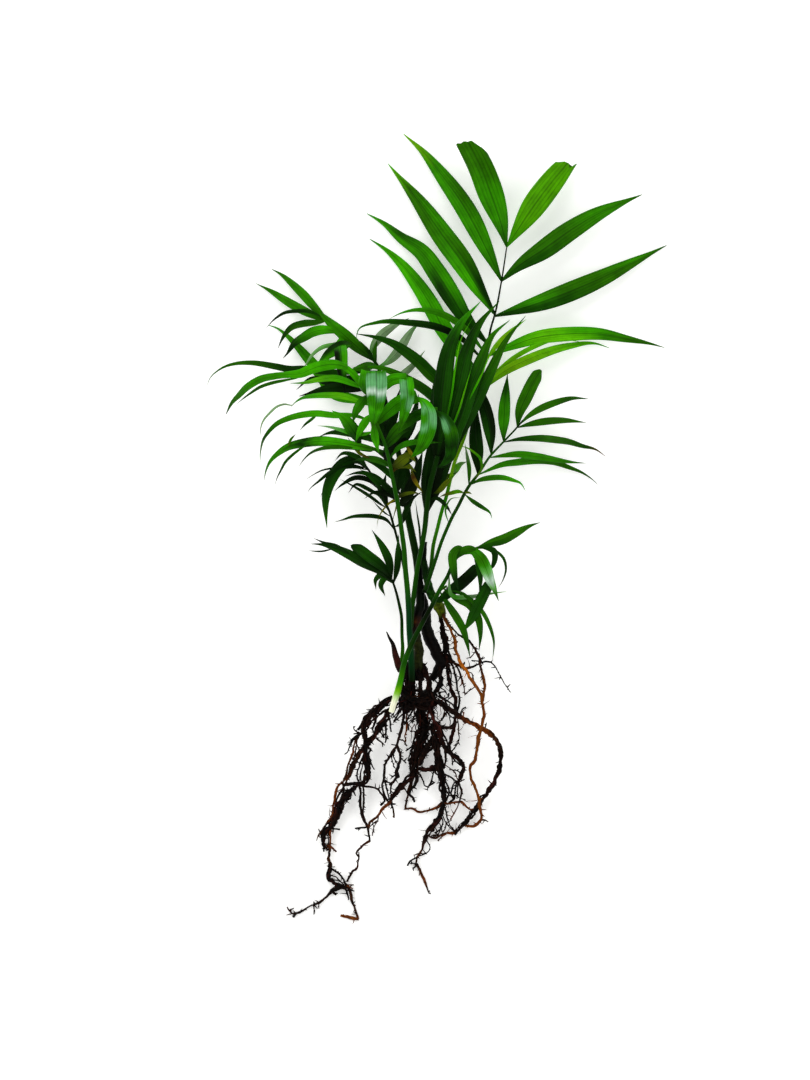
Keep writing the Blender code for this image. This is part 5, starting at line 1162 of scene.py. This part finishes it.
def leaf_material(name):
    """Fresh palm leaf with a waxy skin: fine parallel veins that meet at both ends, a thin dark middle vein, long soft
    streaks between the veins and slight blotches. The veins lie less than a millimetre apart on a wide blade."""
    leaf = bpy.context.scene.palm_leaf
    tree, shader = fresh(name)
    # The blade's tint, which holds its painted highlights, painted shade and painted shadows
    tint = node(tree, "VertexColor", {"layer_name": "tint"})
    place = node(tree, "UVMap", {"uv_map": "pattern"})
    where = node(tree, "TexCoord").outputs["Object"]
    blotch = node(tree, "TexNoise", {"Scale": BLOTCHES, "Detail": 4.0, "Roughness": 0.6}, {"Vector": where})
    split = node(tree, "SeparateXYZ", links={0: place})
    shift = node(tree, "Math", {"operation": "MULTIPLY_ADD", 1: VEIN_PUSH, 2: -VEIN_PUSH / 2}, {0: blotch})
    across = node(tree, "Math", {"operation": "ADD"}, {0: split, 1: shift})
    fine = lines_across(tree, across, leaf.vein_count, FINE_POWER)
    fine = node(tree, "Math", {"operation": "MULTIPLY", 1: FINE_STRENGTH}, {0: fine})
    main = lines_across(tree, across, PLEATS, MAIN_POWER)
    veins = node(tree, "Math", {"operation": "MAXIMUM"}, {0: fine, 1: main})
    middle = node(tree, "Math", {"operation": "ABSOLUTE"}, {0: across})
    near_middle = {"From Min": 0.02, "From Max": 0.11, "To Min": 1.5, "To Max": 0.0}
    middle = node(tree, "MapRange", near_middle, {"Value": middle})
    veins = node(tree, "Math", {"operation": "MAXIMUM"}, {0: veins, 1: middle})
    stretch = node(tree, "Mapping", {"Scale": (5.0, 2.2, 1.0)}, {"Vector": place})
    streak = node(tree, "TexNoise", {"Scale": 1.0, "Detail": 3.0}, {"Vector": stretch})
    soft = node(tree, "Math", {"operation": "ADD"}, {0: blotch, 1: streak})
    lighter = {"From Min": 0.65, "From Max": 1.35, "To Min": 0.62, "To Max": 1.4}
    shade = node(tree, "MapRange", lighter, {"Value": soft})
    darker = {"From Min": 0.0, "From Max": 1.5, "To Min": 1.0, "To Max": 1.0 - leaf.vein_shade}
    dark = node(tree, "MapRange", darker, {"Value": veins})
    shade = node(tree, "Math", {"operation": "MULTIPLY"}, {0: shade, 1: dark})
    colour = node(tree, "VectorMath", {"operation": "SCALE"}, {0: tint, "Scale": shade})
    duller = {"From Min": 0.3, "From Max": 0.7, "To Min": leaf.roughness - 0.05, "To Max": leaf.roughness + 0.1}
    rough = node(tree, "MapRange", duller, {"Value": blotch})
    bump = node(tree, "Bump", {"Strength": 0.5, "Distance": 0.0003}, {"Height": veins})
    wax = {"IOR": 1.45, "Specular IOR Level": leaf.shine, "Specular Tint": (*linear(SKIN_SHINE), 1.0)}
    fill(tree, shader, wax, {"Base Color": colour, "Roughness": rough, "Normal": bump})


def stalk_material(name):
    """Green petiole skin: smooth and slightly waxy, with fine lengthwise streaks."""
    tree, shader = fresh(name)
    tint = node(tree, "VertexColor", {"layer_name": "tint"})
    place = node(tree, "UVMap", {"uv_map": "pattern"})
    stretch = node(tree, "Mapping", {"Scale": (14.0, 0.6, 1.0)}, {"Vector": place})
    streak = node(tree, "TexNoise", {"Scale": 1.0, "Detail": 3.0}, {"Vector": stretch})
    lighter = {"From Min": 0.3, "From Max": 0.7, "To Min": 0.65, "To Max": 1.35}
    shade = node(tree, "MapRange", lighter, {"Value": streak})
    colour = node(tree, "VectorMath", {"operation": "SCALE"}, {0: tint, "Scale": shade})
    bump = node(tree, "Bump", {"Strength": 0.4, "Distance": 0.0002}, {"Height": streak})
    wax = {"Roughness": 0.42, "IOR": 1.45, "Specular IOR Level": 0.09, "Specular Tint": (*linear(SKIN_SHINE), 1.0)}
    fill(tree, shader, wax, {"Base Color": colour, "Normal": bump})


def bark_material(name):
    """Root and cane skin: dry, rough and earthy, with lengthwise wrinkles and lighter worn patches."""
    roughness, grain, rust = BARKS[name]
    tree, shader = fresh(name)
    tint = node(tree, "VertexColor", {"layer_name": "tint"})
    place = node(tree, "UVMap", {"uv_map": "pattern"})
    stretch = node(tree, "Mapping", {"Scale": (6.0, 2.0, 1.0)}, {"Vector": place})
    wrinkle = node(tree, "TexNoise", {"Scale": 1.6, "Detail": 5.0, "Roughness": 0.65}, {"Vector": stretch})
    where = node(tree, "TexCoord").outputs["Object"]
    earth = node(tree, "TexNoise", {"Scale": grain, "Detail": 6.0, "Roughness": 0.7}, {"Vector": where})
    both = node(tree, "Math", {"operation": "MULTIPLY"}, {0: wrinkle, 1: earth})
    lighter = {"From Min": 0.14, "From Max": 0.42, "To Min": 0.2, "To Max": 1.9}
    shade = node(tree, "MapRange", lighter, {"Value": both})
    scaled = node(tree, "VectorMath", {"operation": "SCALE"}, {0: tint, "Scale": shade})
    rusty = {"From Min": 0.5, "From Max": 0.75, "To Min": 0.0, "To Max": rust}
    worn = node(tree, "MapRange", rusty, {"Value": earth})
    mixed = {"data_type": "RGBA", 7: (*linear(TONES["rust"]), 1.0)}
    colour = node(tree, "Mix", mixed, {0: worn, 6: scaled}).outputs[2]
    bump = node(tree, "Bump", {"Strength": 0.8, "Distance": 0.0005}, {"Height": both})
    dry = {"Roughness": roughness, "IOR": 1.5, "Specular IOR Level": 0.05}
    fill(tree, shader, dry, {"Base Color": colour, "Normal": bump})


# The plant's finishes in the order of their slots, and what makes them
FINISHES = {
    "waxy_palm_leaf": leaf_material,
    "green_petiole_skin": stalk_material,
    "earthy_root_bark": bark_material,
    "ringed_cane_bark": bark_material,
}


def finish(name):
    """One of the plant's finishes, made when it is first asked for."""
    if name not in bpy.data.materials:
        FINISHES[name](name)
    return bpy.data.materials[name]


def plant_object(name, parts):
    """The pieces as one object of the plant that rides on the plant's only body."""
    made = assemble(name, parts, [finish(each) for each in FINISHES])
    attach(made, "root")
    return made


# How far off a blade's base may lie from what bears it, and how near it must be to be moved there, in metres
BEARER_REACH = 0.014
BASE_SNAP = 0.0025
# Points of the lines that can bear a blade
STALK_POINTS, BLADE_POINTS = 200, 60


def grown(shape, bearers, **look):
    """A blade whose base is led back to the nearest place on the lines that can bear it, and those lines with its own.
    A base that lies further off stays where it is."""
    width, tones, heights, points, *kind = shape
    points = np.reshape(points, (-1, 2))
    base = np.array([*points[0], heights[0]]) * MM
    spot = bearers[np.linalg.norm(bearers - base, axis=1).argmin()]
    if np.linalg.norm(spot - base) < BEARER_REACH:
        kept = int(np.linalg.norm(spot[:2] - base[:2]) < BASE_SNAP)
        heights, points = (spot[2] / MM, *heights[kept:]), np.vstack([spot[:2] / MM, points[kept:]])
    made = blade(width, tones, heights, points, *kind, **look)
    return made, np.vstack([bearers, route(points, heights, BLADE_POINTS)])


def frond(stalk, leaflets, fold, turn):
    """A stalk, and one object for each of its large leaflets in the place of the node whose name it has. The fold is
    how far a leaflet's halves drop, and the turn how far it leans at its base, in degrees."""
    stalk_piece(stalk)
    heights, points = STALKS[stalk][2:4]
    for number, (name, *blades) in enumerate(leaflets):
        bearers, parts = route(points, heights, STALK_POINTS), []
        for order, shape in enumerate(blades):
            part, bearers = grown(shape, bearers, fold=fold, turn=turn, seed=number + 2 * order)
            parts.append(part)
        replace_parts(plant_object(name + "_blade", parts), name)


def stalk_piece(name):
    """A stalk with the small leaflets that grow from it, in the place of its node."""
    widths, tones, heights, points, small = STALKS[name]
    parts = [tube(widths, tones, heights, points, SKIN, stations=60, around=14, groove=0.18)]
    bearers = route(points, heights, STALK_POINTS)
    for seed, shape in enumerate(small, 3):
        part, bearers = grown(shape, bearers, fold=0.22, turn=8, stations=30, across=9, seed=seed)
        parts.append(part)
    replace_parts(plant_object(name + "_growth", parts), name)


class PALM_OT_top_frond(bpy.types.Operator):
    """Builds the tall top frond: its thin stalk and large leaflets"""

    bl_idname = "palm.top_frond"
    bl_label = "Top Frond"

    def execute(self, context):
        frond("top_frond_stalk", TOP_LEAFLETS, fold=0.2, turn=6)
        return {"FINISHED"}


class PALM_OT_spear_frond(bpy.types.Operator):
    """Builds the young frond whose folded leaflets still stand together"""

    bl_idname = "palm.spear_frond"
    bl_label = "Spear Frond"

    def execute(self, context):
        frond("spear_frond_stalk", SPEAR_LEAFLETS, fold=0.35, turn=8)
        return {"FINISHED"}


class PALM_OT_right_frond(bpy.types.Operator):
    """Builds the frond that leans to the right"""

    bl_idname = "palm.right_frond"
    bl_label = "Right Frond"

    def execute(self, context):
        frond("right_frond_stalk", RIGHT_LEAFLETS, fold=0.22, turn=-6)
        return {"FINISHED"}


class PALM_OT_front_frond(bpy.types.Operator):
    """Builds the front frond with its glossy drooping leaflets, whose highlight bands are painted into their colour"""

    bl_idname = "palm.front_frond"
    bl_label = "Front Frond"

    def execute(self, context):
        frond("front_frond_stalk", FRONT_LEAFLETS, fold=0.15, turn=3)
        return {"FINISHED"}


class PALM_OT_back_frond(bpy.types.Operator):
    """Builds the back frond that reaches to the upper left"""

    bl_idname = "palm.back_frond"
    bl_label = "Back Frond"

    def execute(self, context):
        frond("back_frond_stalk", BACK_LEAFLETS, fold=0.24, turn=8)
        return {"FINISHED"}


class PALM_OT_small_fronds(bpy.types.Operator):
    """Builds the small fronds low on the plant and the seedling's leaf"""

    bl_idname = "palm.small_fronds"
    bl_label = "Small Fronds"

    def execute(self, context):
        for name in ("lower_left_frond_stalk", "small_leaf_stalk", "lower_right_frond_stalk", "seedling_leaf_stalk"):
            stalk_piece(name)
        return {"FINISHED"}


class PALM_OT_canes(bpy.types.Operator):
    """Builds the ringed canes, the rhizome and the dry sheath"""

    bl_idname = "palm.canes"
    bl_label = "Canes"

    def execute(self, context):
        for number, (name, *line, rings) in enumerate(CANES):
            part = tube(*line, CANE_BARK, stations=90, around=20, knots=0.04, rings_every=rings, seed=number)
            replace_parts(plant_object(name + "_bark", [part]), name)
        return {"FINISHED"}


class PALM_OT_roots(bpy.types.Operator):
    """Builds the root crown and the roots with their strands and short rootlets"""

    bl_idname = "palm.roots"
    bl_label = "Roots"

    def execute(self, context):
        for seed, (name, ropes) in enumerate(ROOTS, 100):
            rng = np.random.default_rng(seed)
            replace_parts(plant_object(name + "_strands", root_parts(ropes, rng)), name)
        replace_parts(crown_object(), "root_crown")
        return {"FINISHED"}


# Balls of the crown: rings, points round one and the radians from a pole to the first ring. Their swellings: height,
# radians from pole to pole and round it for each radian, the share of the ball's number that shifts the first, and a
# further shift of the second
LUMP_RINGS, LUMP_AROUND, LUMP_POLE = 26, 28, 0.02
LUMP_SWELLINGS = ((0.14, 5, 4, 1, 0), (0.08, 11, 9, 0, np.pi / 2))
# Stubs that leave the crown: how many, their points, and the middle and spread of where they begin, in millimetres
STUBS, STUB_POINTS, STUB_SIDES = 70, 22, 5
STUB_CENTRE_MM, STUB_SPREAD_MM = (-11, -128, 25), (9, 5, 5)
# How much they fan out sideways, run down the plant and rise or fall, and how far they bend as a share of their length
STUB_FAN, STUB_AWAY, STUB_RISE, STUB_BEND = 0.55, (0.5, 1.5), 0.15, 0.2
# Their lengths and radii in millimetres, and the share of its radius that one loses by its tip
STUB_REACH_MM, STUB_RADIUS_MM, STUB_TAPER = (5, 35), (0.35, 0.9), 0.6
# How they stray: radians for each millimetre and size in millimetres, full from this share of the way, and any phase
STUB_WAVES, STUB_STEADY, ANY_PHASE = ((0.16, 1.6), (0.42, 0.8), (0.95, 0.35)), 1 / 3, (0, 6.28)
# Height in millimetres that they come down to over this way, and the power of that fall
STUB_REST_MM, STUB_FALL_MM, STUB_FALL_POWER = 4, 60, 1.2
STUB_TONES = ("soil", "soil", "bark", "maroon")


def crown_object():
    """The root crown: balls whose radius swells by sums of sines, thick root bases that cross them, and stubs that
    leave them nearly straight."""
    rng = np.random.default_rng(7)
    parts = []
    polar = np.linspace(LUMP_POLE, np.pi - LUMP_POLE, LUMP_RINGS)[:, None]
    turn = np.linspace(0, 2 * np.pi, LUMP_AROUND, endpoint=False)
    for number, (centre, halves) in enumerate(CROWN_LUMPS):
        swell = 1 + sum(
            high * np.sin(down * polar + shift * number) * np.sin(about * turn + number + further)
            for high, down, about, shift, further in LUMP_SWELLINGS)
        ways = np.broadcast_arrays(np.sin(polar) * np.cos(turn), np.sin(polar) * np.sin(turn), -np.cos(polar))
        ball = (np.stack(ways, axis=-1) * swell[..., None] * halves + centre) * MM
        uv = np.stack(np.broadcast_arrays(turn / 2, polar), axis=-1)
        parts.append(piece(ball, uv, np.broadcast_to(np.array(linear(TONES["soil"])), ball.shape), ROOT_BARK))
    parts += root_parts(CROWN_ROPES, rng)
    begin = np.array(STUB_CENTRE_MM) + rng.normal(size=(STUBS, 3)) * STUB_SPREAD_MM
    away = (rng.normal(size=STUBS) * STUB_FAN, -drawn(rng, STUB_AWAY, STUBS), rng.normal(size=STUBS) * STUB_RISE)
    away = unit(np.stack(away, axis=-1))
    across = unit(np.cross(away, UP))
    t = np.linspace(0, 1, STUB_POINTS)[None, :]
    along = t * drawn(rng, STUB_REACH_MM, (STUBS, 1), power=2.5)
    waves = rng.normal(size=(STUBS, 1)) * STUB_BEND * t * along
    for pace, size in STUB_WAVES:
        phase = drawn(rng, ANY_PHASE, (STUBS, 1))
        waves = waves + size * np.sin(along * pace + phase) * np.minimum(1, t / STUB_STEADY)
    lines = begin[:, None] + away[:, None] * along[..., None] + across[:, None] * waves[..., None]
    fallen = np.minimum(1, along / STUB_FALL_MM) ** STUB_FALL_POWER
    lines[..., 2] = lines[..., 2] - (lines[..., 2] - STUB_REST_MM) * fallen
    radii = drawn(rng, STUB_RADIUS_MM, (STUBS, 1)) * (1 - STUB_TAPER * t)
    lines[..., 2] = np.maximum(lines[..., 2], radii)
    tint = np.array([linear(TONES[name]) for name in rng.choice(STUB_TONES, STUBS)])
    parts.append(many_tubes(lines * MM, radii * MM, np.repeat(tint[:, None], STUB_POINTS, axis=1), STUB_SIDES))
    return plant_object("root_crown_stubs", parts)


class PALM_OT_stage(bpy.types.Operator):
    """Builds the pale table, the soft lights and the camera that looks straight down"""

    bl_idname = "palm.stage"
    bl_label = "Table, Lights and Camera"

    def execute(self, context):
        settings = context.scene.palm_stage
        mesh = bpy.data.meshes.new("table_top")
        corners = np.array([(-1, -1), (1, -1), (1, 1), (-1, 1)]) * TABLE_HALF_WIDTH
        mesh.from_pydata(np.column_stack([corners, np.zeros(4)]), [], [(0, 1, 2, 3)])
        table = bpy.data.objects.new("table_top", mesh)
        context.scene.collection.objects.link(table)
        tree, shader = fresh("matt_white_table")
        pale = (*settings.floor, 1.0)
        matt = {"Base Color": pale, "Roughness": 0.9, "Emission Color": pale, "Emission Strength": settings.glow}
        fill(tree, shader, matt)
        mesh.materials.append(bpy.data.materials["matt_white_table"])
        world = bpy.data.worlds.new("soft_studio")
        world.use_nodes = True
        even = {"Color": (1.0, 1.0, 1.0, 1.0), "Strength": settings.sky}
        fill(world.node_tree, world.node_tree.nodes["Background"], even)
        context.scene.world = world
        context.scene.view_settings.view_transform = "Standard"
        for name, place, size, share in LAMPS:
            data = bpy.data.lights.new(name, "AREA")
            data.size = size
            data.energy = settings.key_light * share
            lamp = bpy.data.objects.new(name, data)
            lamp.location = place
            lamp.rotation_euler = lamp.location.to_track_quat("Z", "Y").to_euler()
            context.scene.collection.objects.link(lamp)
        data = bpy.data.cameras.new("camera")
        data.sensor_width = 36.0
        data.lens = data.sensor_width * settings.distance / (PHOTO_HEIGHT_PX * PHOTO_MM_PER_PIXEL * MM)
        camera = bpy.data.objects.new("camera", data)
        x, y, z = (place * MM for place in PHOTO_CENTRE_MM)
        camera.location = (x, y, settings.distance + z)
        context.scene.collection.objects.link(camera)
        context.scene.camera = camera
        return {"FINISHED"}


OPERATORS = (
    PALM_OT_stage,
    PALM_OT_top_frond,
    PALM_OT_spear_frond,
    PALM_OT_right_frond,
    PALM_OT_front_frond,
    PALM_OT_back_frond,
    PALM_OT_small_fronds,
    PALM_OT_canes,
    PALM_OT_roots,
)
SETTINGS = (("palm_leaf", PalmLeafSettings), ("palm_root", PalmRootSettings), ("palm_stage", PalmStageSettings))


class PALM_PT_panel(bpy.types.Panel):
    """Lists the plant's settings and its pieces"""

    bl_idname = "PALM_PT_panel"
    bl_label = "Parlor Palm"
    bl_space_type = "VIEW_3D"
    bl_region_type = "UI"
    bl_category = "Parlor Palm"

    def draw(self, context):
        for key, group in SETTINGS:
            box = self.layout.box()
            for prop in group.__annotations__:
                box.prop(getattr(context.scene, key), prop)
        for operator in OPERATORS:
            self.layout.operator(operator.bl_idname)


def register():
    for key, group in SETTINGS:
        bpy.utils.register_class(group)
        setattr(bpy.types.Scene, key, PointerProperty(type=group))
    for cls in (*OPERATORS, PALM_PT_panel):
        bpy.utils.register_class(cls)


def unregister():
    for cls in reversed((*OPERATORS, PALM_PT_panel)):
        bpy.utils.unregister_class(cls)
    for key, group in reversed(SETTINGS):
        delattr(bpy.types.Scene, key)
        bpy.utils.unregister_class(group)


def main():
    register()
    for operator in OPERATORS:
        getattr(bpy.ops.palm, operator.bl_idname.removeprefix("palm."))()
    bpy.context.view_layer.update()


if __name__ == "__main__":
    main()
